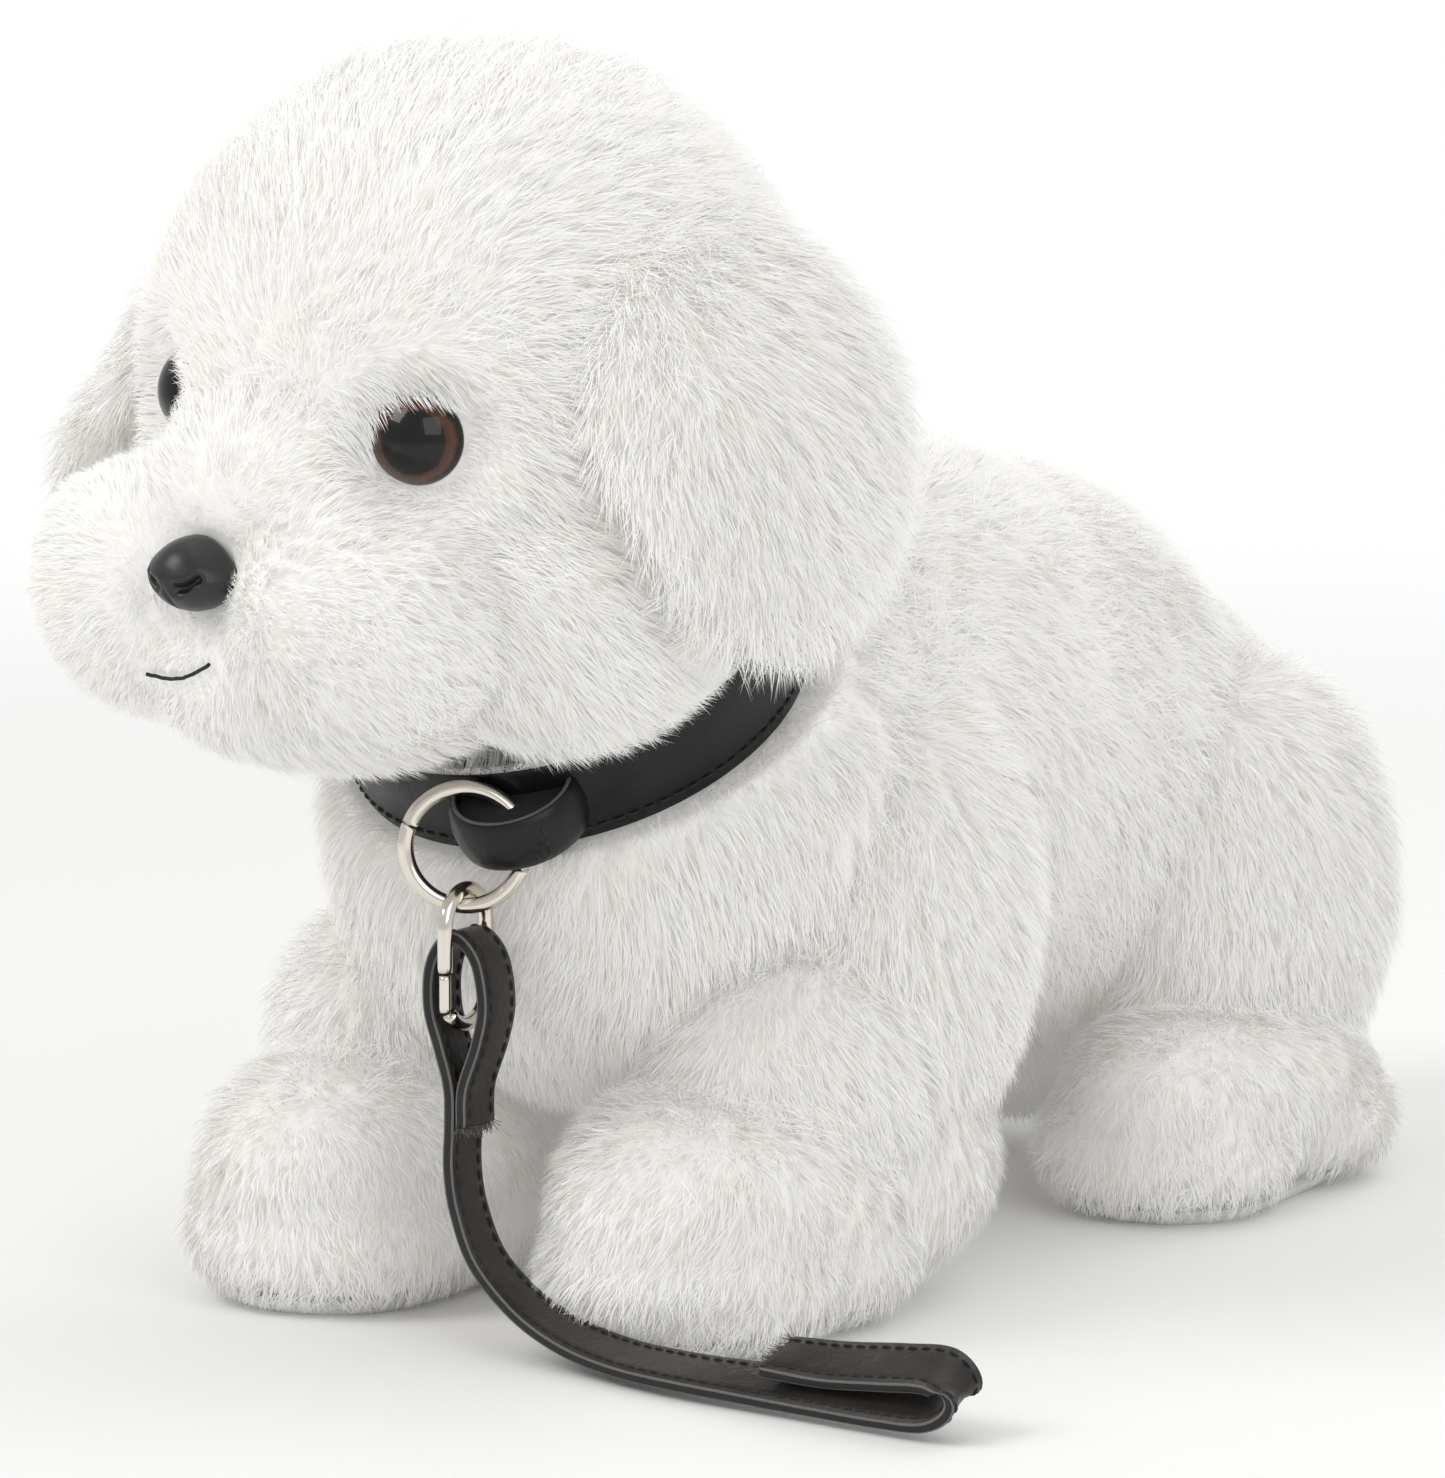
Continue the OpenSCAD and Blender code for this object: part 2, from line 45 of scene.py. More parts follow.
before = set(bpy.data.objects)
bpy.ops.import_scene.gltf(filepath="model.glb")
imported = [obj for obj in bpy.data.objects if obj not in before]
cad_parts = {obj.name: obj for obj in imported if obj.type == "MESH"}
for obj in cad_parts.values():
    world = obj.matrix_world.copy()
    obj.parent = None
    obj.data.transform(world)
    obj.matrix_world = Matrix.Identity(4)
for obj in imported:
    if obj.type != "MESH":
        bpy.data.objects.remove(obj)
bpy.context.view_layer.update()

# The head's own frame, as in the CAD part: turned to the puppy's right, nodding and tilted a little.
HEAD_AT = (-4.0, -98.6, 177.0)
HEAD = (
    Matrix.Translation(HEAD_AT)
    @ Matrix.Rotation(math.radians(-9), 4, "Z")
    @ Matrix.Rotation(math.radians(3), 4, "X")
    @ Matrix.Rotation(math.radians(5), 4, "Y")
)
# The collar's frame: its +Z runs up the neck.
COLLAR = Matrix.Translation((0, -74.6, 122)) @ Matrix.Rotation(math.radians(30), 4, "X")
COLLAR_HALF = 10.0
STITCH_IN = 2.4  # from the strap's edge to its row of stitches
NO_TURN = (0, 0, 0)

# Balls that each cloth skin is rounded over: centre, radii and turn in degrees.
HEAD_BALLS = [
    ((0, 0, 1), (60, 61, 60), NO_TURN),
    ((34, -12, -30), (28, 33, 29), NO_TURN),
    ((-34, -12, -30), (28, 33, 29), NO_TURN),
    ((0, -34, -42), (33, 36, 23), NO_TURN),
    ((23, -56, -33), (24, 23, 23), NO_TURN),
    ((-24, -56, -33), (25, 23, 24), NO_TURN),
    ((0, -46, -13), (25, 26, 21), NO_TURN),
    ((0, -46, -43), (30, 28, 20), NO_TURN),
]
EAR_LEFT_BALL = ((64, 6, 1), (8, 37, 39), (0, -12, 0))
EAR_RIGHT_BALL = ((-63.5, 0, -8), (10, 39, 40), (0, 19, 0))
TORSO_BALLS = [
    ((0, -52.6, 92), (57, 57, 56), NO_TURN),
    ((0, -5, 97), (55, 64, 56), NO_TURN),
    ((0, 28, 98), (54, 66, 58), NO_TURN),
    ((0, 68, 89), (55, 64, 58), NO_TURN),
    ((0, 106, 68), (55, 55, 57), NO_TURN),
    ((0, 156, 84), (13, 15, 20), (-25, 0, 0)),
    ((0, -74.6, 122), (38, 38, 30), (30, 0, 0)),
]


def mirrored(side, ball):
    centre, radii, turn = ball
    return ((side * centre[0], centre[1], centre[2]), radii, (turn[0], side * turn[1], side * turn[2]))


FRONT_LEG_BALLS = [
    ((43, -34.6, 66), (27, 33, 50), (-18, 0, 0)),
    ((40, -80.6, 26), (28, 40, 22), NO_TURN),
    ((40, -92.6, 14), (28, 29, 16), NO_TURN),
    ((40, -68.6, 14), (28, 29, 16), NO_TURN),
    ((42, -62, 46), (26, 30, 27), NO_TURN),
    ((43, -42.6, 27), (26, 28, 24), NO_TURN),
]
REAR_LEG_BALLS = [
    ((46, 105.4, 58), (26, 41, 47), NO_TURN),
    ((53, 85.4, 23), (25, 46, 19), (0, 0, 5)),
    ((53, 64, 13), (25, 25, 15), (0, 0, 5)),
    ((53, 106, 13), (25, 27, 15), (0, 0, 5)),
]

EYE_YAW = 31.3
EYE_SEAT = 54.0
NOSE_SEAT = (0, -73, -26)
SOLE_LEVEL = 3.4
CLOTH = 1.6
# Painted light: the pile and its backing glow faintly in their own colour, standing in for light that white
# fibres pass on to each other, as a share of full white.
PILE_GLOW = 0.07

# The keeper, the ring and the clasp, as in the CAD part.
KEEPER_TURN = 17
KEEPER_R = 12.0
KEEPER_REACH = 56.5
KEEPER_HALF = 5.2
RING_AT = (6.5, -119.1, 93.5)
RING_TURN = 28
RING_MID = 11.0
RING_WIRE = 1.5
CLASP_CENTRE = (6.5, -119.1, 73.1)
CLASP_MID = 6.8
CLASP_STRAIGHT = 11.6
CLASP_WIRE = 1.4
GATE = (63.6, 70.4)

FLOOR_R = 1.3  # metres
CAMERA_AZIMUTH = 32
CAMERA_HEIGHT = 8
CAMERA_TARGET = (-2.66, -15.18, 100.41)
CAMERA_AWAY = 1.6  # metres
CAMERA_LENS = 199.9

# Steps along the leash's line at which the hand loop is sewn down.
HAND_LOOP_SEAMS = (250, 256)
# The middle line of the leash from its free end, through the clasp and down to the hand loop.
# Each point is x, y, z and the lean of the strap's width above level, in degrees.
LEASH_ROUTE = [
    (8.4, -119.1, 42, 0),
    (8.7, -119.1, 49, 0),
    (11.6, -119.1, 57, 0),
    (13.2, -119.1, 64, 0),
    (12.4, -119.1, 71, 0),
    (10.4, -119.1, 75, 0),
    (7, -119.1, 77.2, 0),
    (3.4, -119.1, 75, 0),
    (1.4, -119.1, 70, 0),
    (1.4, -119.1, 63, 0),
    (3.6, -119.1, 56, 0),
    (5.6, -119.1, 49, 0),
    (5.8, -119.1, 42, 0),
    (5.6, -119.2, 34, 0),
    (7.2, -119.6, 26, 0),
    (12.4, -121, 17, 4),
    (22, -122.6, 9.8, 8),
    (34, -125.6, 5.8, 12),
    (48, -129.6, 4.2, 14),
    (64, -133.6, 4.2, 16),
    (80, -135.6, 4.4, 20),
    (95, -137.6, 4.8, 26),
    (110, -139.6, 5, 28),
    (120, -140.6, 5.6, 28),
    (124, -140.2, 8.6, 28),
    (120, -139.6, 12, 28),
    (110, -138.6, 11.4, 28),
    (97, -136.6, 10, 26),
    (84, -134.8, 9.6, 20),
]


# ---- Settings a user would change ----


class PuppyPile(bpy.types.PropertyGroup):
    length: bpy.props.FloatProperty(
        name="Pile length", description="Length of the pile on the body, in millimetres",
        default=10.0, min=4, max=16,
    )
    width: bpy.props.FloatProperty(
        name="Fibre width", description="Width of one lock of fibres, in millimetres",
        default=0.21, min=0.1, max=0.8,
    )
    density: bpy.props.FloatProperty(
        name="Density", description="Locks of fibres on each square millimetre of cloth",
        default=1.8, min=0.2, max=4,
    )
    clumping: bpy.props.FloatProperty(
        name="Clumping", description="How far the tips of neighbouring locks meet",
        default=0.4, min=0, max=1,
        subtype="FACTOR",
    )


class PuppyColours(bpy.types.PropertyGroup):
    pile: bpy.props.FloatVectorProperty(
        name="Pile", description="Colour of the pile",
        default=(0.92, 0.913, 0.896), subtype="COLOR", size=3,
    )
    pile_warm: bpy.props.FloatVectorProperty(
        name="Warm pile", description="Colour of the warmer locks",
        default=(0.91, 0.893, 0.855), subtype="COLOR", size=3,
    )
    iris: bpy.props.FloatVectorProperty(
        name="Iris", description="Colour of the iris",
        default=(0.060, 0.024, 0.013), subtype="COLOR", size=3,
    )
    leather: bpy.props.FloatVectorProperty(
        name="Collar", description="Colour of the collar",
        default=(0.006, 0.006, 0.0065), subtype="COLOR", size=3,
    )
    leash: bpy.props.FloatVectorProperty(
        name="Leash", description="Colour of the leash's faces",
        default=(0.030, 0.026, 0.023), subtype="COLOR", size=3,
    )
    nickel: bpy.props.FloatVectorProperty(
        name="Nickel", description="Colour of the plated hardware",
        default=(0.74, 0.69, 0.62), subtype="COLOR", size=3,
    )


class PuppySizes(bpy.types.PropertyGroup):
    eye_radius: bpy.props.FloatProperty(
        name="Eye radius", description="Radius of each eye, in millimetres",
        default=8.5, min=6, max=11,
    )
    leash_width: bpy.props.FloatProperty(
        name="Leash width", description="Width of the leash strap, in millimetres",
        default=10.0, min=8, max=14,
    )
    leash_thickness: bpy.props.FloatProperty(
        name="Leash thickness", description="Thickness of the leash strap, in millimetres",
        default=2.2, min=1.4, max=3,
    )
    collar_radius: bpy.props.FloatProperty(
        name="Collar radius", description="Outside radius of the collar, in millimetres",
        default=44.4, min=40, max=48,
    )


# ---- Numbers and frames ----


def unit(v):
    return v / np.maximum(np.linalg.norm(v, axis=-1, keepdims=True), 1e-9)


def smoothstep(low, high, x):
    t = np.clip((x - low) / (high - low), 0, 1)
    return t * t * (3 - 2 * t)


def moved(points, matrix):
    m = np.array(matrix)
    return points @ m[:3, :3].T + m[:3, 3]


def turned(vectors, matrix):
    return vectors @ np.array(matrix.to_3x3()).T


def eye_frame(side):
    """The eye's frame: its +Z points out of the face."""
    return (
        HEAD
        @ Matrix.Rotation(math.radians(side * EYE_YAW), 4, "Z")
        @ Matrix.Translation((0, -EYE_SEAT, 0))
        @ Matrix.Rotation(math.radians(90), 4, "X")
    )


def nose_frame():
    return HEAD @ Matrix.Translation(NOSE_SEAT) @ Matrix.Rotation(math.radians(90), 4, "X")


def mouth_line():
    """The smile in the head's frame, seen from the front."""
    return catmull_rom([(-12, -90, -45.6), (-7, -90, -45.8), (-1, -90, -44.6), (4.5, -90, -41.5)], 8)


def in_metres(matrix):
    scaled = matrix.copy()
    scaled.translation = matrix.translation * MM
    return scaled


def ball_matrix(ball, base):
    centre, radii, turn = ball
    angles = Euler([math.radians(a) for a in turn])
    return base @ Matrix.Translation(centre) @ angles.to_matrix().to_4x4() @ Matrix.Diagonal((*radii, 1))


def inside_balls(points, balls, base, scale=1.0):
    """True where a point is inside any of the balls."""
    found = np.zeros(len(points), bool)
    for ball in balls:
        local = moved(points, ball_matrix(ball, base).inverted())
        found |= (local**2).sum(1) < scale**2
    return found


# ---- Materials ----


def new_material(name):
    mat = bpy.data.materials.get(name) or bpy.data.materials.new(name)
    mat.use_nodes = True
    mat.node_tree.nodes.clear()
    tree = mat.node_tree
    out = tree.nodes.new("ShaderNodeOutputMaterial")
    shader = tree.nodes.new("ShaderNodeBsdfPrincipled")
    tree.links.new(shader.outputs["BSDF"], out.inputs["Surface"])
    return mat, tree, shader


def set_inputs(shader, **values):
    for key, value in values.items():
        socket = shader.inputs[key.replace("_", " ")]
        socket.default_value = (*value, 1) if socket.type == "RGBA" else value


def add_node(tree, kind, **values):
    node = tree.nodes.new(kind)
    for key, value in values.items():
        if key in node.inputs:
            node.inputs[key].default_value = value
        else:
            setattr(node, key, value)
    return node


def new_group(name, inputs, outputs):
    """An empty node group with number sockets. inputs maps each name to its default."""
    group = bpy.data.node_groups.new(name, "ShaderNodeTree")
    for key, value in inputs.items():
        socket = group.interface.new_socket(key, in_out="INPUT", socket_type="NodeSocketFloat")
        socket.default_value = value
    for key in outputs:
        group.interface.new_socket(key, in_out="OUTPUT", socket_type="NodeSocketFloat")
    return group, group.nodes.new("NodeGroupInput"), group.nodes.new("NodeGroupOutput")


def sheen_group():
    """A roughness that wanders between Low and High."""
    found = bpy.data.node_groups.get("Wandering sheen")
    if found:
        return found
    inputs = {"Scale": 400, "Detail": 3, "Low": 0.2, "High": 0.4}
    group, source, sink = new_group("Wandering sheen", inputs, ["Roughness"])
    place = group.nodes.new("ShaderNodeTexCoord")
    haze = group.nodes.new("ShaderNodeTexNoise")
    rough = group.nodes.new("ShaderNodeMapRange")
    link = group.links.new
    link(place.outputs["Object"], haze.inputs["Vector"])
    link(source.outputs["Scale"], haze.inputs["Scale"])
    link(source.outputs["Detail"], haze.inputs["Detail"])
    link(haze.outputs["Fac"], rough.inputs["Value"])
    link(source.outputs["Low"], rough.inputs["To Min"])
    link(source.outputs["High"], rough.inputs["To Max"])
    link(rough.outputs["Result"], sink.inputs["Roughness"])
    return group


def grain_group():
    """Fine pebbled grain with worn patches: outputs a height, a roughness and a wear mask."""
    found = bpy.data.node_groups.get("Leather grain")
    if found:
        return found
    outputs = ["Height", "Roughness", "Wear"]
    group, source, sink = new_group("Leather grain", {"Scale": 900}, outputs)
    place = group.nodes.new("ShaderNodeTexCoord")
    pebbles = add_node(group, "ShaderNodeTexVoronoi", feature="F1")
    wrinkles = add_node(group, "ShaderNodeTexNoise", Scale=240.0, Detail=4.0)
    patches = add_node(group, "ShaderNodeTexNoise", Scale=60.0, Detail=3.0)
    wear = add_node(group, "ShaderNodeMapRange")
    wear.inputs["From Min"].default_value = 0.45
    wear.inputs["From Max"].default_value = 0.75
    rough = add_node(group, "ShaderNodeMapRange")
    rough.inputs["To Min"].default_value = 0.26
    rough.inputs["To Max"].default_value = 0.5
    height = add_node(group, "ShaderNodeMath", operation="MULTIPLY_ADD")
    height.inputs[1].default_value = 0.6
    link = group.links.new
    link(source.outputs["Scale"], pebbles.inputs["Scale"])
    for texture in (pebbles, wrinkles, patches):
        link(place.outputs["Object"], texture.inputs["Vector"])
    link(pebbles.outputs["Distance"], height.inputs[0])
    link(wrinkles.outputs["Fac"], height.inputs[2])
    link(patches.outputs["Fac"], wear.inputs["Value"])
    link(wrinkles.outputs["Fac"], rough.inputs["Value"])
    link(height.outputs["Value"], sink.inputs["Height"])
    link(rough.outputs["Result"], sink.inputs["Roughness"])
    link(wear.outputs["Result"], sink.inputs["Wear"])
    return group


def leather_material(name, colour, worn, bump, gloss):
    mat, tree, shader = new_material(name)
    grain = add_node(tree, "ShaderNodeGroup", node_tree=grain_group())
    mix = add_node(tree, "ShaderNodeMix", data_type="RGBA")
    mix.inputs["A"].default_value = (*colour, 1)
    mix.inputs["B"].default_value = (*worn, 1)
    dent = add_node(tree, "ShaderNodeBump", Strength=bump, Distance=0.0002)
    tree.links.new(grain.outputs["Wear"], mix.inputs["Factor"])
    tree.links.new(mix.outputs["Result"], shader.inputs["Base Color"])
    tree.links.new(grain.outputs["Roughness"], shader.inputs["Roughness"])
    tree.links.new(grain.outputs["Height"], dent.inputs["Height"])
    tree.links.new(dent.outputs["Normal"], shader.inputs["Normal"])
    set_inputs(shader, Specular_IOR_Level=0.25, Coat_Weight=gloss, Coat_Roughness=0.18)
    return mat


def felt_material(name, colour, strength=0.8):
    """Matted fibres: for felt, thread, stuffing and cut edges."""
    mat, tree, shader = new_material(name)
    place = tree.nodes.new("ShaderNodeTexCoord")
    fibres = add_node(tree, "ShaderNodeTexNoise", Scale=1800.0, Detail=4.0, Roughness=0.7)
    tint = add_node(tree, "ShaderNodeMix", data_type="RGBA")
    tint.inputs["A"].default_value = (*(0.6 * c for c in colour), 1)
    tint.inputs["B"].default_value = (*(min(1, 1.3 * c) for c in colour), 1)
    dent = add_node(tree, "ShaderNodeBump", Strength=strength, Distance=0.0003)
    tree.links.new(place.outputs["Object"], fibres.inputs["Vector"])
    tree.links.new(fibres.outputs["Fac"], tint.inputs["Factor"])
    tree.links.new(tint.outputs["Result"], shader.inputs["Base Color"])
    tree.links.new(fibres.outputs["Fac"], dent.inputs["Height"])
    tree.links.new(dent.outputs["Normal"], shader.inputs["Normal"])
    set_inputs(shader, Roughness=0.85)
    return mat


def pile_material(name, colour):
    mat, _, shader = new_material(name)
    # Painted light: a faint glow in the material's own colour lifts the pile's shade.
    set_inputs(
        shader, Base_Color=colour, Roughness=0.9, Specular_IOR_Level=0.12,
        Emission_Color=colour, Emission_Strength=PILE_GLOW,
    )
    return mat


def eye_material(name, iris, radius):
    """Black pupil, a brown ring with fine rays and a dark rim, under a clear gloss."""
    mat, tree, shader = new_material(name)
    place = tree.nodes.new("ShaderNodeTexCoord")
    flat = add_node(tree, "ShaderNodeVectorMath", operation="MULTIPLY")
    flat.inputs[1].default_value = (1, 1, 0)
    size = add_node(tree, "ShaderNodeVectorMath", operation="LENGTH")
    rays = add_node(tree, "ShaderNodeTexNoise", Scale=3.0, Detail=3.0)
    round_it = add_node(tree, "ShaderNodeVectorMath", operation="NORMALIZE")
    spread = add_node(tree, "ShaderNodeMath", operation="MULTIPLY_ADD")
    spread.inputs[1].default_value = 0.0012
    ramp = tree.nodes.new("ShaderNodeValToRGB")
    share = add_node(tree, "ShaderNodeMath", operation="DIVIDE")
    share.inputs[1].default_value = radius * MM
    stops = ramp.color_ramp.elements
    stops[0].position = 0.74
    stops[0].color = (0.002, 0.002, 0.002, 1)
    stops[1].position = 1.0
    stops[1].color = (0.006, 0.003, 0.002, 1)
    for at, colour in ((0.80, iris), (0.92, [1.5 * c for c in iris])):
        stop = stops.new(at)
        stop.color = (*colour, 1)
    link = tree.links.new
    link(place.outputs["Object"], flat.inputs[0])
    link(flat.outputs["Vector"], size.inputs[0])
    link(flat.outputs["Vector"], round_it.inputs[0])
    link(round_it.outputs["Vector"], rays.inputs["Vector"])
    link(rays.outputs["Fac"], spread.inputs[0])
    link(size.outputs["Value"], spread.inputs[2])
    link(spread.outputs["Value"], share.inputs[0])
    link(share.outputs["Value"], ramp.inputs["Fac"])
    link(ramp.outputs["Color"], shader.inputs["Base Color"])
    set_inputs(shader, Roughness=0.3, Specular_IOR_Level=0.1, Coat_Weight=0.6, Coat_Roughness=0.02)
    return mat


def sheen_material(name, colour, scale, detail, low, high, metallic=0.0):
    """Moulded plastic or plated metal."""
    mat, tree, shader = new_material(name)
    sheen = add_node(tree, "ShaderNodeGroup", node_tree=sheen_group())
    for key, value in (("Scale", scale), ("Detail", detail), ("Low", low), ("High", high)):
        sheen.inputs[key].default_value = value
    tree.links.new(sheen.outputs["Roughness"], shader.inputs["Roughness"])
    set_inputs(shader, Base_Color=colour, Metallic=metallic)
    return mat


# ---- Meshes ----


def add_object(name, mesh):
    obj = bpy.data.objects.new(name, mesh)
    bpy.context.scene.collection.objects.link(obj)
    return obj


def mesh_from(name, points, faces, smooth=True):
    """A mesh from points in millimetres."""
    mesh = bpy.data.meshes.new(name)
    mesh.from_pydata([tuple(p) for p in np.asarray(points) * MM], [], faces)
    mesh.polygons.foreach_set("use_smooth", np.full(len(mesh.polygons), smooth))
    return mesh


def finished(obj, body, slot, *materials):
    """Gives a piece its materials and the body it moves with. Its slot argument is not used."""
    for mat in materials:
        obj.data.materials.append(mat)
    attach(obj, body)
    return obj


def material(name):
    return bpy.data.materials[name]


def vertex_points(mesh):
    points = np.empty(len(mesh.vertices) * 3)
    mesh.vertices.foreach_get("co", points)
    return points.reshape(-1, 3) / MM


def set_points(mesh, points):
    mesh.vertices.foreach_set("co", (points * MM).ravel())
    mesh.update()


def fused_balls(name, balls, base, voxel=2.5, rounds=10):
    """One smooth closed skin over several balls."""
    bm = bmesh.new()
    for ball in balls:
        bmesh.ops.create_icosphere(bm, subdivisions=4, radius=1, matrix=ball_matrix(ball, base))
    bmesh.ops.scale(bm, vec=(MM, MM, MM), verts=bm.verts)
    mesh = bpy.data.meshes.new(name)
    bm.to_mesh(mesh)
    bm.free()
    rough = add_object(name, mesh)
    remesh = rough.modifiers.new("Fuse", "REMESH")
    remesh.mode = "VOXEL"
    remesh.voxel_size = voxel * MM
    smooth = rough.modifiers.new("Round", "SMOOTH")
    smooth.factor = 0.5
    smooth.iterations = rounds
    graph = bpy.context.evaluated_depsgraph_get()
    final = bpy.data.meshes.new_from_object(rough.evaluated_get(graph))
    final.name = name
    bpy.data.objects.remove(rough)
    final.polygons.foreach_set("use_smooth", np.ones(len(final.polygons), bool))
    return final


def draw_in_neck(points, side):
    """Keeps the cloth clear of the collar. side is 1 above the strap and -1 below it."""
    local = moved(points, COLLAR.inverted())
    radius = np.linalg.norm(local[:, :2], axis=1)
    weight = smoothstep(39, 43, radius) * (1 - smoothstep(56, 78, radius))
    edge = COLLAR_HALF + 1.5
    height = side * local[:, 2]
    local[:, 2] += side * weight * np.maximum(edge - height, 0) * (height > -2 * edge)
    return moved(local, COLLAR)


def seat_part(points, part_frame, radius, level, soft):
    """Pulls the cloth back to a flat seat around a moulded part."""
    local = moved(points, part_frame.inverted())
    away = np.linalg.norm(local[:, :2], axis=1)
    weight = 1 - smoothstep(radius, radius + soft, away)
    in_front = (local[:, 2] > level) & (local[:, 2] < 40)
    local[:, 2] = np.where(in_front, local[:, 2] + (level - local[:, 2]) * weight, local[:, 2])
    return moved(local, part_frame)


def fill_skin(name, skin, body, *nodes):
    """The stuffing inside a skin, close under its cloth."""
    filling = skin.copy()
    filling.name = name
    normals = np.empty(len(skin.vertices) * 3)
    skin.vertex_normals.foreach_get("vector", normals)
    set_points(filling, vertex_points(skin) - normals.reshape(-1, 3) * CLOTH)
    filling.materials.clear()
    obj = finished(add_object(name, filling), body, "stuffing", material("stuffing"))
    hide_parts(*nodes)


def flatten_soles(points):
    """The cloth ends flat just above the soles."""
    points = points.copy()
    points[:, 2] = np.maximum(points[:, 2], SOLE_LEVEL)
    return points


# ---- Pile: locks of fibres as thin curved blades ----

BLADE_POINTS = 5
BLADE_QUAD = [0, 1, 3, 2]
BLADE_TIP = [2, 3, 4]
PIECE_BLADES = 60000


def surface_samples(mesh, per_mm2, rng):
    """Random points on a mesh with their normals, in millimetres."""
    mesh.calc_loop_triangles()
    corners = np.empty(len(mesh.loop_triangles) * 3, np.int32)
    mesh.loop_triangles.foreach_get("vertices", corners)
    corners = corners.reshape(-1, 3)
    points = vertex_points(mesh)
    normals = np.empty(len(mesh.vertices) * 3)
    mesh.vertex_normals.foreach_get("vector", normals)
    normals = normals.reshape(-1, 3)
    a, b, c = (points[corners[:, k]] for k in range(3))
    area = np.linalg.norm(np.cross(b - a, c - a), axis=1) / 2
    count = int(area.sum() * per_mm2)
    picked = rng.choice(len(area), count, p=area / area.sum())
    u, v = np.sqrt(rng.random(count)), rng.random(count)
    mix = np.stack([1 - u, u * (1 - v), u * v], 1)[:, :, None]
    at = (points[corners[picked]] * mix).sum(1)
    return at, unit((normals[corners[picked]] * mix).sum(1))


def swirl(points, span, seed):
    """A smooth wandering direction that repeats nowhere near."""
    rng = np.random.default_rng(seed)
    total = np.zeros_like(points)
    for _ in range(5):
        wave = rng.normal(size=(3, 3)) * (1.6 / span)
        total += np.sin(points @ wave + rng.random(3) * 6.28)
    return total / 5


def cell_means(keys, *values):
    """The mean of each value over points that share a key, given back for every point."""
    _, where, counts = np.unique(keys, return_inverse=True, return_counts=True)
    means = []
    for value in values:
        sums = np.stack([np.bincount(where, value[:, k]) for k in range(value.shape[1])], 1)
        means.append((sums / counts[:, None])[where])
    return means, where


def blades(points, normals, flow, length, lean, width, clumping, rng, cell=2.6):
    """Points of every blade, two pairs and a tip, with the normals that light them and their clumps."""
    count = len(points)
    keys = np.floor((points + 1.2 * swirl(points, 6, 3)) / cell).astype(np.int64)
    keys = keys[:, 0] * 73856093 ^ keys[:, 1] * 19349663 ^ keys[:, 2] * 83492791
    (mean_point, mean_normal), clump = cell_means(keys, points, normals)
    clumps = clump.max() + 1
    clump_turn = rng.normal(size=(clumps, 3))[clump] * 0.2
    clump_long = (0.88 + 0.24 * rng.random(clumps))[clump]
    flow = flow + clump_turn + rng.normal(size=(count, 3)) * 0.2 + 0.55 * swirl(points, 18, 5)
    flow = unit(flow - normals * (flow * normals).sum(1, keepdims=True))
    length = length * clump_long * (0.86 + 0.2 * rng.random(count))
    start = (lean - 0.30 + rng.normal(size=count) * 0.13)[:, None]
    end = (lean + 0.34 + rng.normal(size=count) * 0.16)[:, None]
    first = normals * np.cos(start) + flow * np.sin(start)
    last = normals * np.cos(end) + flow * np.sin(end)
    tip_of_clump = mean_point + (unit(mean_normal) * 0.5 + flow * 0.74) * length[:, None]
    steps = (0.0, 0.5, 1.0)
    line = [points + length[:, None] * (first * t + (last - first) * (t * t / 2)) for t in steps]
    pull = (tip_of_clump - line[-1]) * clumping
    line = [p + pull * t**1.7 for p, t in zip(line, steps)]
    along = unit(line[-1] - line[0])
    side = unit(np.cross(along, normals))
    up = np.cross(side, along)
    roll = (rng.normal(size=count) * 0.3)[:, None]
    side = side * np.cos(roll) + up * np.sin(roll)
    widths = width * (0.75 + 0.5 * rng.random(count))[:, None]
    rows = []
    for p, share in zip(line, (0.5, 0.42)):
        rows += [p - side * widths * share, p + side * widths * share]
    shade = unit(normals * 0.72 + np.cross(side, along) * 0.28)
    return np.stack(rows + [line[-1]], 1), shade, clump


def blade_mesh(name, blade_points, shade, tint):
    """One mesh of blades, each a quad and a pointed tip, lit by the given normals.

    tint picks each blade's material.
    """
    count = len(blade_points)
    order = np.arange(count, dtype=np.int32)[:, None]
    mesh = bpy.data.meshes.new(name)
    mesh.vertices.add(count * BLADE_POINTS)
    mesh.vertices.foreach_set("co", (blade_points * MM).astype(np.float32).ravel())
    corners = order * BLADE_POINTS + np.array(BLADE_QUAD + BLADE_TIP, np.int32)
    starts = order * corners.shape[1] + np.array([0, len(BLADE_QUAD)], np.int32)
    mesh.loops.add(corners.size)
    mesh.loops.foreach_set("vertex_index", corners.ravel())
    mesh.polygons.add(starts.size)
    mesh.polygons.foreach_set("loop_start", starts.ravel())
    mesh.polygons.foreach_set("use_smooth", np.ones(starts.size, bool))
    mesh.polygons.foreach_set("material_index", np.repeat(tint.astype(np.int32), 2))
    mesh.update(calc_edges=True)
    mesh.normals_split_custom_set_from_vertices(np.repeat(shade, BLADE_POINTS, axis=0))
    return mesh


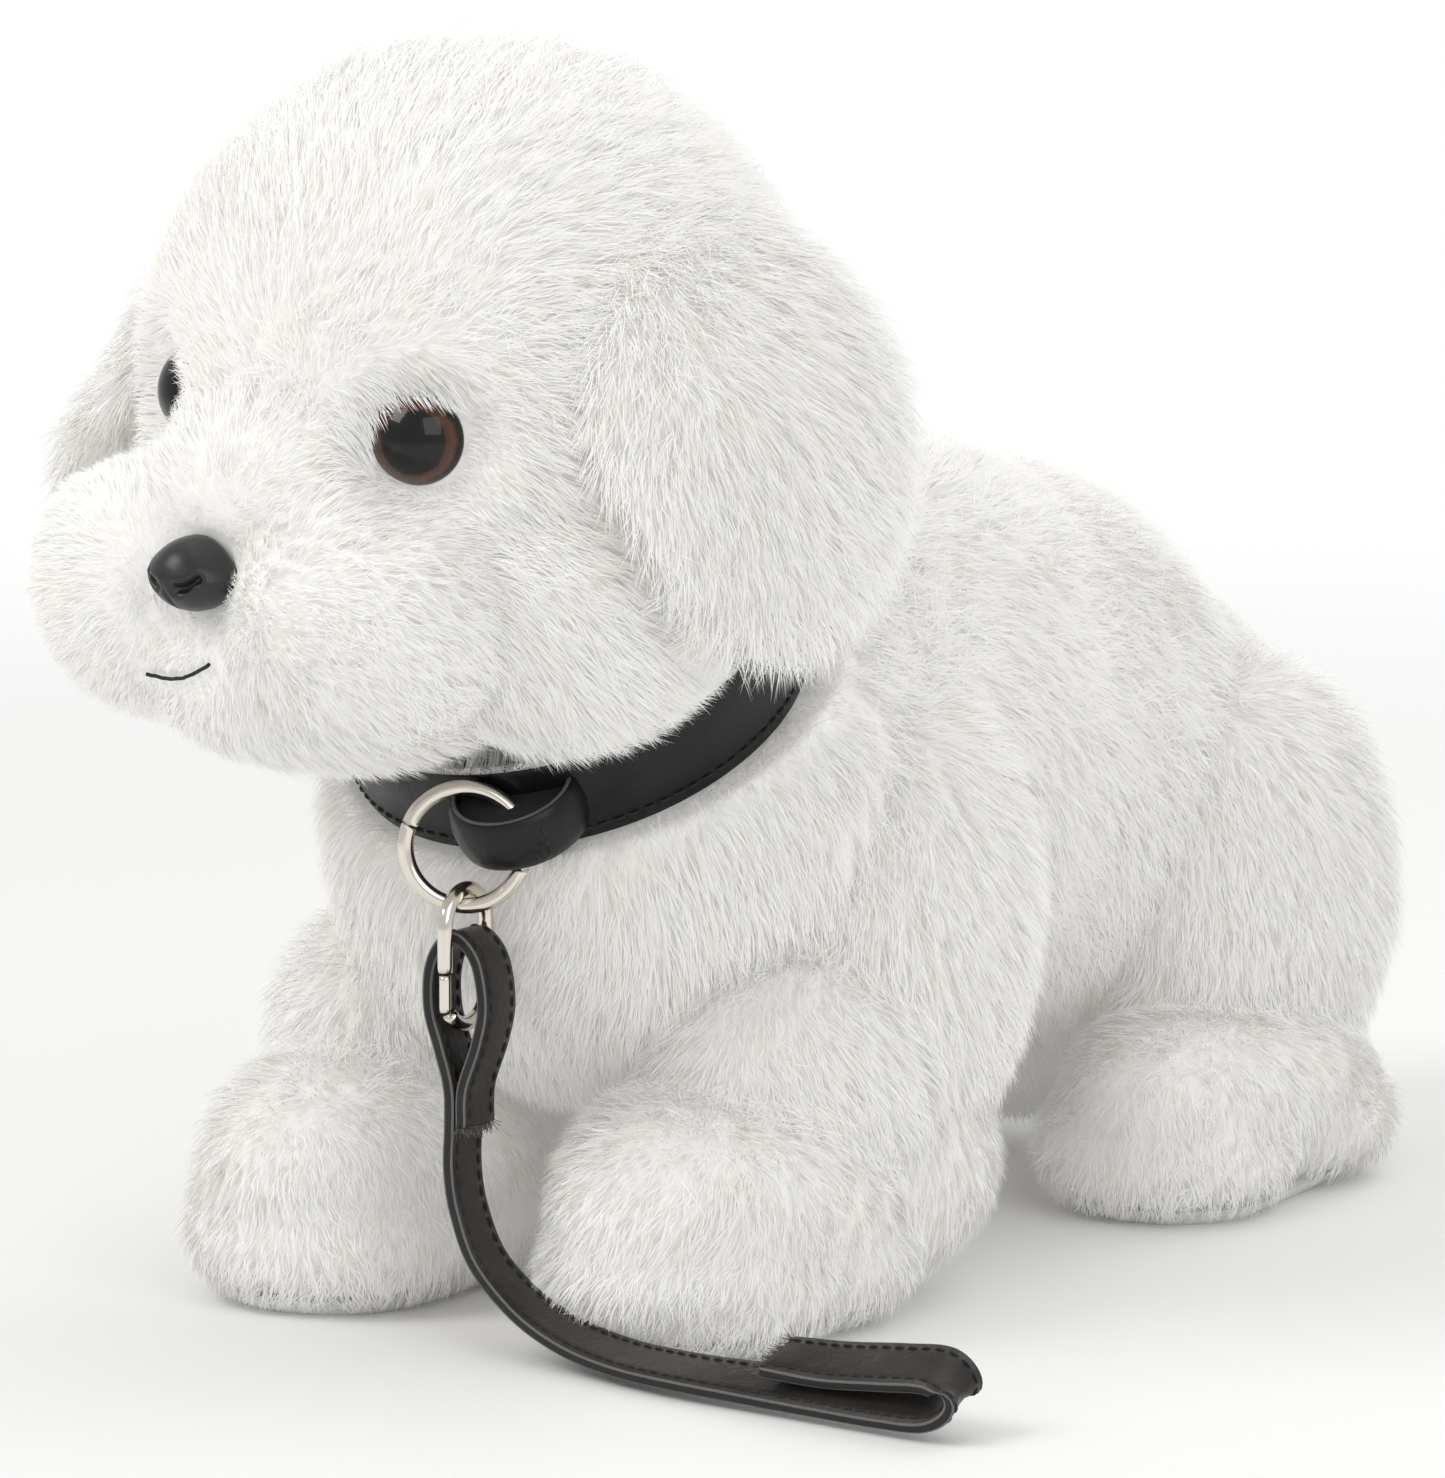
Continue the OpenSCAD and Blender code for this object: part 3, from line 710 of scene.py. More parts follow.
def outside_collar(blade_points):
    """Locks that meet the collar are held at its edges, with their tips just over them."""
    count = len(blade_points)
    local = moved(blade_points.reshape(-1, 3), COLLAR.inverted()).reshape(count, BLADE_POINTS, 3)
    above = local[:, :1, 2] > 0
    radius = np.linalg.norm(local[:, :, :2], axis=2)
    near = radius < 64
    edge = COLLAR_HALF - 1.2
    held = np.where(above, np.maximum(local[:, :, 2], edge), np.minimum(local[:, :, 2], -edge))
    local[:, :, 2] = np.where(near, held, local[:, :, 2])
    hit = (np.abs(local[:, :, 2]) < COLLAR_HALF + 0.4) & (radius < 46.2)
    local[:, :, :2] *= np.where(hit, 46.2 / np.maximum(radius, 1e-6), 1.0)[:, :, None]
    return moved(local.reshape(-1, 3), COLLAR).reshape(count, BLADE_POINTS, 3)


def collar_mask(points):
    """False for roots under the collar."""
    local = moved(points, COLLAR.inverted())
    radius = np.linalg.norm(local[:, :2], axis=1)
    return ~((np.abs(local[:, 2]) < COLLAR_HALF + 0.8) & (radius < 47))


def part_distance(points, part_frame):
    local = moved(points, part_frame.inverted())
    return np.where(local[:, 2] > -14, np.linalg.norm(local[:, :2], axis=1), 99.0)


def grow_pile(name, skin, body, flow_of, length_of, keep_of, slot="pile_cloth", density=1.0, lean=0.98):
    """Grows pile on a skin, in pieces that stay light enough to store."""
    pile = bpy.context.scene.puppy_pile
    rng = np.random.default_rng(SEED + sum(ord(c) for c in name))
    share = 1.0
    points, normals = surface_samples(skin, pile.density * density * share, rng)
    kept = keep_of(points) & collar_mask(points)
    points, normals = points[kept], normals[kept]
    flow, length = flow_of(points, normals), length_of(points) * pile.length
    width = pile.width * 1.0
    lean = lean(points) if callable(lean) else np.full(len(points), lean)
    found, shade, clump = blades(points, normals, flow, length, lean, width, pile.clumping, rng)
    found = outside_collar(found)
    found[:, :, 2] = np.maximum(found[:, :, 2], 0.4)
    warm = (np.random.default_rng(SEED).random(clump.max() + 1) < 0.22)[clump]
    pieces = math.ceil(len(found) / PIECE_BLADES)
    order = np.argsort(points[:, 1] + 0.2 * points[:, 2])
    for k, part in enumerate(np.array_split(order, pieces)):
        title = name if pieces == 1 else f"{name}_{k + 1}"
        obj = add_object(title, blade_mesh(title, found[part], shade[part], warm[part]))
        finished(obj, body, slot, material("pile"), material("pile_warm"))


def sole_keep(points):
    return points[:, 2] > SOLE_LEVEL + 0.4


# ---- Operators: one for each group of pieces ----


class PUPPY_OT_materials(bpy.types.Operator):
    """Make the puppy's materials"""

    bl_idname = "puppy.materials"
    bl_label = "Materials"

    def execute(self, context):
        colours = context.scene.puppy_colours
        pile_material("pile", tuple(colours.pile))
        pile_material("pile_warm", tuple(colours.pile_warm))
        pile_material("cloth_backing", (0.92, 0.91, 0.89))
        felt_material("sole_cloth", (0.86, 0.85, 0.82), 0.4)
        felt_material("stuffing", (0.86, 0.85, 0.82))
        sheen_material("washer", (0.72, 0.72, 0.70), 500, 4, 0.35, 0.55)
        sheen_material("nose", (0.012, 0.012, 0.013), 500, 4, 0.28, 0.42)
        eye_material("eye", tuple(colours.iris), context.scene.puppy_sizes.eye_radius)
        felt_material("thread", (0.02, 0.02, 0.022))
        felt_material("edge_pale", (0.15, 0.14, 0.13))
        felt_material("felt_dark", (0.018, 0.018, 0.02))
        leather = tuple(colours.leather)
        leather_material("collar_leather", leather, tuple(2.0 * c for c in leather), 0.35, 0.12)
        leash = tuple(colours.leash)
        leather_material("leash_leather", leash, tuple(0.3 * c for c in leash), 0.6, 0.08)
        sheen_material("nickel", tuple(colours.nickel), 320, 3, 0.06, 0.2, metallic=1.0)
        return {"FINISHED"}


class PUPPY_OT_washers(bpy.types.Operator):
    """Give the washers inside the head their material"""

    bl_idname = "puppy.washers"
    bl_label = "Washers"

    def execute(self, context):
        for name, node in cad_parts.items():
            if "washer" in name:
                node.data.materials.clear()
                node.data.materials.append(material("washer"))
        return {"FINISHED"}


class PUPPY_OT_head(bpy.types.Operator):
    """Make the head's cloth and its pile"""

    bl_idname = "puppy.head"
    bl_label = "Head"

    def execute(self, context):
        skin = fused_balls("head_cloth", HEAD_BALLS, HEAD)
        points = vertex_points(skin)
        for side in (1, -1):
            points = seat_part(points, eye_frame(side), 9.5, 0.8, 9)
        points = seat_part(points, nose_frame(), 9, 1.0, 8)
        set_points(skin, draw_in_neck(points, 1))
        obj = add_object("head_cloth", skin)
        finished(obj, "dog", "pile_cloth", material("cloth_backing"))
        panels = ("side_left", "side_right", "gusset")
        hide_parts(*(f"head_{p}" for p in panels), "cheek_left", "cheek_right")
        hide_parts("muzzle_left", "muzzle_right", "nose_bridge", "chin_panel")
        fill_skin("head_filling", skin, "dog", "head_stuffing", "muzzle_stuffing")
        grow_pile("head_pile", skin, "dog", self.flow, self.length, self.keep, density=1.35, lean=self.lean)
        return {"FINISHED"}

    @staticmethod
    def flow(points, normals):
        local = moved(points, HEAD.inverted())
        away = unit(local - np.array([0, -84, -22.0]))
        down = np.array([0, 0.25, -1.0]) * smoothstep(20, 60, np.abs(local[:, 0]))[:, None]
        flow = turned(away + 0.7 * down, HEAD)
        for side in (1, -1):
            centre = np.array(eye_frame(side).translation)
            near = 1 - smoothstep(8, 20, part_distance(points, eye_frame(side)))
            flow += unit(points - centre) * near[:, None] * 1.2
            local_eye = moved(points, eye_frame(side).inverted())
            brow = near * smoothstep(0, 6, local_eye[:, 1] - 0.7 * side * local_eye[:, 0])
            flow += turned(np.array([0.6 * side, -1.0, 0.0]), eye_frame(side)) * brow[:, None] * 3.6
        return flow

    @staticmethod
    def lean(points):
        """The pile stands up over each eye, so that it can hang over the dome's edge."""
        lean = np.full(len(points), 0.98)
        for side in (1, -1):
            local = moved(points, eye_frame(side).inverted())
            near = 1 - smoothstep(9, 14, part_distance(points, eye_frame(side)))
            lean -= 0.6 * near * smoothstep(0, 6, local[:, 1] - 0.7 * side * local[:, 0])
        return lean

    @staticmethod
    def length(points):
        local = moved(points, HEAD.inverted())
        back = smoothstep(-80, -20, local[:, 1])
        share = 0.55 + 0.45 * back
        for side in (1, -1):
            local_eye = moved(points, eye_frame(side).inverted())
            least = 0.5 + 0.4 * smoothstep(0, 6, local_eye[:, 1] - 0.7 * side * local_eye[:, 0])
            share *= least + (1 - least) * smoothstep(8, 22, part_distance(points, eye_frame(side)))
        share *= 0.6 + 0.4 * smoothstep(8, 20, part_distance(points, nose_frame()))
        gap = np.linalg.norm(local[:, None, ::2] - mouth_line()[None, ::4, ::2], axis=2).min(1)
        in_front = local[:, 1] < -50
        return np.where(in_front, share * (0.22 + 0.78 * smoothstep(1.0, 6.0, gap)), share)

    @staticmethod
    def keep(points):
        kept = part_distance(points, nose_frame()) > 8.2
        for side in (1, -1):
            kept &= part_distance(points, eye_frame(side)) > 8.6
        return kept & ~inside_balls(points, TORSO_BALLS[:1], Matrix.Identity(4), 0.98)


class PUPPY_OT_ears(bpy.types.Operator):
    """Make both hanging ears with their pile"""

    bl_idname = "puppy.ears"
    bl_label = "Ears"

    def execute(self, context):
        for word, ball in (("left", EAR_LEFT_BALL), ("right", EAR_RIGHT_BALL)):
            skin = fused_balls(f"ear_{word}_cloth", [ball], HEAD, voxel=1.5, rounds=4)
            set_points(skin, self.bent(vertex_points(skin)))
            body = f"ear_{word}"
            obj = add_object(f"ear_{word}_cloth", skin)
            finished(obj, body, "ear_lining", material("cloth_backing"))
            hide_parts(f"ear_outer_{word}", f"ear_inner_{word}")
            grown = (self.flow, self.length, self.keep)
            grow_pile(f"ear_{word}_pile", skin, body, *grown, density=1.2, lean=1.05)
        return {"FINISHED"}

    @staticmethod
    def bent(points):
        """The top and the front edge of an ear curve in to the head."""
        local = moved(points, HEAD.inverted())
        top = np.maximum(local[:, 2], 0)
        front = np.maximum(-10 - local[:, 1], 0) * smoothstep(-25, 5, local[:, 2])
        local[:, 0] -= np.sign(local[:, 0]) * (0.010 * top**2 + 0.020 * front**2)
        return moved(local, HEAD)

    @staticmethod
    def flow(points, normals):
        local = moved(points, HEAD.inverted())
        spread = local * np.array([0, 0.012, 0.0])
        return turned(spread + np.array([0, 0.1, -1.0]), HEAD)

    @staticmethod
    def length(points):
        local = moved(points, HEAD.inverted())
        return 1.0 + 0.35 * (1 - smoothstep(-40, -10, local[:, 2]))

    @staticmethod
    def keep(points):
        return np.ones(len(points), bool)


class PUPPY_OT_torso(bpy.types.Operator):
    """Make the torso's cloth and pile, with the tail"""

    bl_idname = "puppy.torso"
    bl_label = "Torso"

    def execute(self, context):
        skin = fused_balls("torso_cloth", TORSO_BALLS, Matrix.Identity(4), rounds=60)
        set_points(skin, draw_in_neck(vertex_points(skin), -1))
        obj = add_object("torso_cloth", skin)
        finished(obj, "dog", "pile_cloth", material("cloth_backing"))
        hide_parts("body_side_left", "body_side_right", "belly_panel", "neck_sleeve", "tail")
        fill_skin("torso_filling", skin, "dog", "body_stuffing")
        grow_pile("torso_pile", skin, "dog", self.flow, self.length, self.keep)
        return {"FINISHED"}

    @staticmethod
    def flow(points, normals):
        side = smoothstep(10, 50, np.abs(points[:, 0]))[:, None]
        chest = smoothstep(-40, -90, points[:, 1])[:, None]
        back = np.array([0, 1.0, -0.25])
        down = np.array([0, 0.25, -1.0])
        return back * (1 - side) * (1 - chest) + down * (0.6 * side + chest)

    @staticmethod
    def length(points):
        return np.ones(len(points))

    @staticmethod
    def keep(points):
        hidden = inside_balls(points, HEAD_BALLS, HEAD, 0.97)
        for side in (1, -1):
            legs = [mirrored(side, b) for b in FRONT_LEG_BALLS + REAR_LEG_BALLS]
            hidden |= inside_balls(points, legs, Matrix.Identity(4), 0.95)
        return ~hidden


class PUPPY_OT_legs(bpy.types.Operator):
    """Make the four legs with their pile and soles"""

    bl_idname = "puppy.legs"
    bl_label = "Legs"

    def execute(self, context):
        for end, balls in (("front", FRONT_LEG_BALLS), ("rear", REAR_LEG_BALLS)):
            for side, word in ((1, "left"), (-1, "right")):
                self.leg(end, word, [mirrored(side, b) for b in balls])
        return {"FINISHED"}

    def leg(self, end, word, balls):
        name = f"{end}_leg_{word}"
        skin = fused_balls(f"{name}_cloth", balls, Matrix.Identity(4))
        set_points(skin, flatten_soles(vertex_points(skin)))
        obj = add_object(f"{name}_cloth", skin)
        finished(obj, "dog", "pile_cloth", material("cloth_backing"))
        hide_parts(name)
        fill_skin(f"{name}_filling", skin, "dog", f"{end}_stuffing_{word}")
        grow_pile(f"{name}_pile", skin, "dog", self.flow, self.length, self.keep)
        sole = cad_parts[f"{end}_sole_{word}"]
        sole.data.materials.clear()
        sole.data.materials.append(material("sole_cloth"))

    @staticmethod
    def flow(points, normals):
        low = 1 - smoothstep(20, 60, points[:, 2])[:, None]
        return np.array([0, 0.1, -1.0]) + np.array([0, -0.6, 0.2]) * low + normals * 0.2

    @staticmethod
    def length(points):
        return 0.72 + 0.28 * smoothstep(20, 60, points[:, 2])

    @staticmethod
    def keep(points):
        hidden = inside_balls(points, TORSO_BALLS, Matrix.Identity(4), 0.96)
        return sole_keep(points) & ~hidden


def revolved(profile, steps=96):
    """A closed turned form. profile is (radius, height) from the axis out and back to it."""
    points, faces = [], []
    rings = []
    for radius, height in profile:
        if radius < 1e-6:
            rings.append([len(points)])
            points.append((0, 0, height))
            continue
        rings.append(list(range(len(points), len(points) + steps)))
        for k in range(steps):
            angle = 2 * math.pi * k / steps
            points.append((radius * math.cos(angle), radius * math.sin(angle), height))
    for low, high in zip(rings, rings[1:]):
        for k in range(steps):
            n = (k + 1) % steps
            quad = [low[k % len(low)], low[n % len(low)], high[n % len(high)], high[k % len(high)]]
            faces.append(list(dict.fromkeys(quad)))
    return np.array(points), faces


def dome_profile(rim, height, depth, rings=24):
    """A dome over a short straight rim and a flat back."""
    ball = (rim * rim + height * height) / (2 * height)
    edge = math.asin(min(1, rim / ball)) if height <= rim else math.pi - math.asin(rim / ball)
    turns = [edge * k / rings for k in range(rings + 1)]
    arc = [(ball * math.sin(a), height - ball + ball * math.cos(a)) for a in turns]
    return [(0.0, -depth), (rim * 0.96, -depth), (rim, -depth * 0.6)] + arc[::-1]


class PUPPY_OT_eyes(bpy.types.Operator):
    """Make both domed eyes"""

    bl_idname = "puppy.eyes"
    bl_label = "Eyes"

    def execute(self, context):
        radius = context.scene.puppy_sizes.eye_radius
        for side, word in ((1, "left"), (-1, "right")):
            points, faces = revolved(dome_profile(radius, 5.5, 2.0))
            obj = add_object(f"eye_{word}_dome", mesh_from(f"eye_{word}_dome", points, faces))
            obj.matrix_world = in_metres(eye_frame(side) @ Matrix.Translation((0, 0, 1.2)))
            finished(obj, "dog", "eye", material("eye"))
            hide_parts(f"eye_{word}")
        return {"FINISHED"}


class PUPPY_OT_nose(bpy.types.Operator):
    """Make the moulded nose with its rimmed nostrils"""

    bl_idname = "puppy.nose"
    bl_label = "Nose"

    def execute(self, context):
        points, faces = revolved(dome_profile(9.0, 8.4, 3.0, rings=60), steps=160)
        front = points[:, 2] > 0
        x, y = points[:, 0], points[:, 1]
        wide = np.where(y > 0, 1.08 - 0.03 * y, 1.08 - 0.022 * (-y))
        points[:, 0] = x * wide
        points[:, 1] = y * 0.82
        x, y = np.abs(points[:, 0]), points[:, 1]
        for depth, reach in ((-2.6, 1.15), (0.7, 2.1)):
            along = np.clip((x - 2.6) / 3.4, 0, 1)
            away = np.hypot(x - (2.6 + 3.4 * along), y - (-1.6 + 2.0 * along * along))
            points[:, 2] += np.where(front, depth * np.exp(-((away / reach) ** 2)), 0)
        groove = np.exp(-((x / 0.6) ** 2)) * smoothstep(-1, -4, y)
        points[:, 2] -= np.where(front, 0.9 * groove, 0)
        obj = add_object("nose_button", mesh_from("nose_button", points, faces))
        seat = Matrix.Translation((0, 0.5, 1.2)) @ Matrix.Scale(0.93, 4)
        obj.matrix_world = in_metres(nose_frame() @ seat)
        finished(obj, "dog", "nose", material("nose"))
        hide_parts("nose")
        return {"FINISHED"}


# ---- Swept and stitched pieces ----


def catmull_rom(route, per_span):
    """A smooth line through the points of a route."""
    route = np.array(route, float)
    padded = np.vstack([2 * route[0] - route[1], route, 2 * route[-1] - route[-2]])
    line = []
    for k in range(len(route) - 1):
        a, b, c, d = padded[k:k + 4]
        for t in np.arange(per_span) / per_span:
            bend = (2 * a - 5 * b + 4 * c - d) * t**2
            twist = (3 * b - a - 3 * c + d) * t**3
            line.append((2 * b + (c - a) * t + bend + twist) / 2)
    line.append(route[-1])
    return np.array(line)


def tube(line, radius, sides=8, closed=False):
    """Points and faces of a round tube along a line."""
    line = np.asarray(line, float)
    along = unit(np.roll(line, -1, 0) - np.roll(line, 1, 0)) if closed else unit(np.gradient(line, axis=0))
    guide = np.array([0.31, 0.17, 0.93])
    side = unit(np.cross(along, guide))
    up = np.cross(side, along)
    angles = np.arange(sides) * 2 * math.pi / sides
    rings = line[:, None] + radius * (
        side[:, None] * np.cos(angles)[None, :, None] + up[:, None] * np.sin(angles)[None, :, None]
    )
    count = len(line)
    faces = []
    for k in range(count if closed else count - 1):
        n = (k + 1) % count
        for j in range(sides):
            i = (j + 1) % sides
            faces.append((k * sides + j, k * sides + i, n * sides + i, n * sides + j))
    if not closed:
        faces.append(tuple(range(sides))[::-1])
        faces.append(tuple((count - 1) * sides + j for j in range(sides)))
    return rings.reshape(-1, 3), faces


def joined(parts):
    """Several (points, faces) as one."""
    points, faces, base = [], [], 0
    for p, f in parts:
        points.append(p)
        faces += [tuple(i + base for i in face) for face in f]
        base += len(p)
    return np.vstack(points), faces


def stitches(line, up, pitch, length, radius):
    """A row of short threads along a line, each dipping into the surface at its ends."""
    steps = np.linalg.norm(np.diff(line, axis=0), axis=1)
    at = np.concatenate([[0], np.cumsum(steps)])
    parts = []
    for start in np.arange(pitch / 2, at[-1] - length, pitch):
        spots = start + length * np.linspace(0, 1, 5)
        dips = np.array([-1.0, 0.3, 0.6, 0.3, -1.0]) * radius
        middle = np.stack([np.interp(spots, at, line[:, k]) for k in range(3)], 1)
        lift = np.stack([np.interp(spots, at, up[:, k]) for k in range(3)], 1)
        parts.append(tube(middle + lift * dips[:, None], radius, sides=6))
    return joined(parts)


class PUPPY_OT_mouth(bpy.types.Operator):
    """Make the sewn mouth"""

    bl_idname = "puppy.mouth"
    bl_label = "Mouth"

    def execute(self, context):
        skin = bpy.data.objects["head_cloth"].data
        corners = [v.co / MM for v in skin.vertices]
        tree = BVHTree.FromPolygons(corners, [p.vertices[:] for p in skin.polygons])
        ahead = HEAD.to_3x3() @ Vector((0, 1, 0))
        line = []
        for point in moved(mouth_line(), HEAD):
            hit, normal, _, _ = tree.ray_cast(Vector(point), ahead)
            line.append(hit + normal * 1.3)
        points, faces = tube(np.array(line), 0.36)
        obj = add_object("mouth_thread", mesh_from("mouth_thread", points, faces))
        finished(obj, "dog", "thread", material("thread"))
        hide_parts("mouth_stitch")
        return {"FINISHED"}


def band(radius, half_width, thickness, arc=(0, 360), steps=200, bulge=0.5, base=Matrix.Identity(4)):
    """A strap bent round its frame's +Z. Materials: 0 the faces, 1 the cut edges."""
    low, high = -half_width, half_width
    inner = -thickness
    section = [
        (0, low + 0.3, 0),
        (bulge * 0.6, low * 0.6, 0),
        (bulge, 0, 0),
        (bulge * 0.6, high * 0.6, 0),
        (0, high - 0.3, 0),
        (-0.4, high, 1),
        (inner + 0.4, high, 1),
        (inner, high - 0.3, 0),
        (inner, low + 0.3, 0),
        (inner + 0.4, low, 1),
        (-0.4, low, 1),
    ]
    whole = arc[1] - arc[0] >= 360
    count = steps if whole else steps + 1
    points, faces, index = [], [], []
    size = len(section)
    for k in range(count):
        angle = math.radians(arc[0] + (arc[1] - arc[0]) * k / steps)
        for out, along, _ in section:
            away = radius + out
            points.append((away * math.sin(angle), -away * math.cos(angle), along))
    for k in range(count if whole else count - 1):
        n = (k + 1) % count
        for j in range(size):
            i = (j + 1) % size
            faces.append((k * size + j, n * size + j, n * size + i, k * size + i))
            index.append(section[j][2] & section[i][2])
    return moved(np.array(points), base), faces, index


def ring_line(radius, height, arc, steps, base):
    """A line round a frame's +Z and the direction out from it."""
    angles = np.radians(np.linspace(arc[0], arc[1], steps))
    out = np.stack([np.sin(angles), -np.cos(angles), np.zeros_like(angles)], 1)
    line = out * radius + np.array([0, 0, height])
    return moved(line, base), turned(out, base)


class PUPPY_OT_collar(bpy.types.Operator):
    """Make the collar strap, its keeper and their stitching"""

    bl_idname = "puppy.collar"
    bl_label = "Collar"

    def execute(self, context):
        radius = context.scene.puppy_sizes.collar_radius
        points, faces, index = band(radius, COLLAR_HALF, 2.0, base=COLLAR)
        mesh = mesh_from("collar_band", points, faces)
        mesh.polygons.foreach_set("material_index", index)
        obj = add_object("collar_band", mesh)
        finished(obj, "dog", "collar_leather", material("collar_leather"), material("edge_pale"))
        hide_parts("collar_strap")
        rows = []
        for height in (STITCH_IN - COLLAR_HALF, COLLAR_HALF - STITCH_IN):
            line, out = ring_line(radius + 0.25, height, (0, 360), 240, COLLAR)
            rows.append(stitches(line, out, 3.1, 2.3, 0.28))
        self.thread("collar_stitching", rows)
        self.keeper()
        return {"FINISHED"}

    def keeper(self):
        turn = COLLAR @ Matrix.Rotation(math.radians(KEEPER_TURN), 4, "Z")
        base = turn @ Matrix.Translation((0, -KEEPER_REACH + KEEPER_R, -1))
        fold_and_shade = {"arc": (-118, 118), "steps": 90, "bulge": 1.0, "base": base}
        points, faces, index = band(KEEPER_R, KEEPER_HALF, 1.6, **fold_and_shade)
        mesh = mesh_from("keeper_loop", points, faces)
        mesh.polygons.foreach_set("material_index", index)
        obj = add_object("keeper_loop", mesh)
        finished(obj, "dog", "collar_leather", material("collar_leather"), material("edge_pale"))
        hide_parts("collar_keeper")
        # Painted shade: dark discs close the keeper loop's top and bottom openings, where its inside lies
        # in shade.
        caps = []
        turns = np.radians(np.linspace(-112, 112, 60))
        for high in (3.6, -3.6):
            rim = np.stack([np.sin(turns), -np.cos(turns), 0 * turns], 1) * (KEEPER_R - 1.2)
            rim[:, 2] = high
            caps.append((moved(rim, base), [tuple(range(len(rim)))]))
        points, faces = joined(caps)
        fold_and_shade = add_object("keeper_shade_caps", mesh_from("keeper_shade_caps", points, faces))
        finished(fold_and_shade, "dog", "collar_leather", material("felt_dark"))
        rows = []
        for angle in (26, 36):
            heights = np.linspace(-4.6, 4.6, 24)
            out = np.array([math.sin(math.radians(angle)), -math.cos(math.radians(angle)), 0])
            line = out * (KEEPER_R + 0.8) + np.stack([0 * heights, 0 * heights, heights], 1)
            rows.append(stitches(moved(line, base), turned(np.tile(out, (24, 1)), base), 2.2, 1.6, 0.26))
        self.thread("keeper_stitching", rows)

    def thread(self, name, rows):
        points, faces = joined(rows)
        obj = add_object(name, mesh_from(name, points, faces))
        finished(obj, "dog", "thread", material("thread"))


class PUPPY_OT_hardware(bpy.types.Operator):
    """Make the ring, the clasp and its gate"""

    bl_idname = "puppy.hardware"
    bl_label = "Ring and clasp"

    def execute(self, context):
        turn = Matrix.Translation(RING_AT) @ Matrix.Rotation(math.radians(RING_TURN), 4, "Z")
        angles = np.linspace(0, 2 * math.pi, 145)[:-1]
        circle = np.stack([np.cos(angles), 0 * angles, np.sin(angles)], 1) * RING_MID
        self.wire("ring_wire", "ring", "collar_ring", moved(circle, turn), RING_WIRE, closed=True)
        self.wire("clasp_link", "clasp", "clasp_body", self.clasp_line(), CLASP_WIRE)
        x, y = CLASP_CENTRE[0], CLASP_CENTRE[1] - CLASP_MID
        gate = np.array([(x, y, z) for z in np.linspace(GATE[0], GATE[1], 9)])
        self.wire("gate_bar", "gate", "clasp_gate", gate, CLASP_WIRE - 0.3)
        return {"FINISHED"}

    def clasp_line(self):
        """From above the gate, over the top and round to below it."""
        top, low = CLASP_STRAIGHT / 2, -CLASP_STRAIGHT / 2
        line = [(-CLASP_MID, z) for z in np.linspace(GATE[1] + 0.6 - CLASP_CENTRE[2], top, 8)[:-1]]
        arch = np.radians(np.linspace(180, 0, 40))
        line += [(CLASP_MID * math.cos(a), top + CLASP_MID * math.sin(a)) for a in arch]
        line += [(CLASP_MID, z) for z in np.linspace(top, low, 12)[1:-1]]
        foot = math.degrees(math.asin((CLASP_CENTRE[2] + low - GATE[0] + 0.6) / CLASP_MID))
        arch = np.radians(np.linspace(0, -180 + foot, 36))
        line += [(CLASP_MID * math.cos(a), low + CLASP_MID * math.sin(a)) for a in arch]
        centre = np.array(CLASP_CENTRE)
        return np.array([centre + np.array([0, y, z]) for y, z in line])

    def wire(self, name, body, node, line, radius, closed=False):
        points, faces = tube(line, radius, sides=20, closed=closed)
        obj = add_object(name, mesh_from(name, points, faces))
        finished(obj, body, "nickel", material("nickel"))
        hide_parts(node)


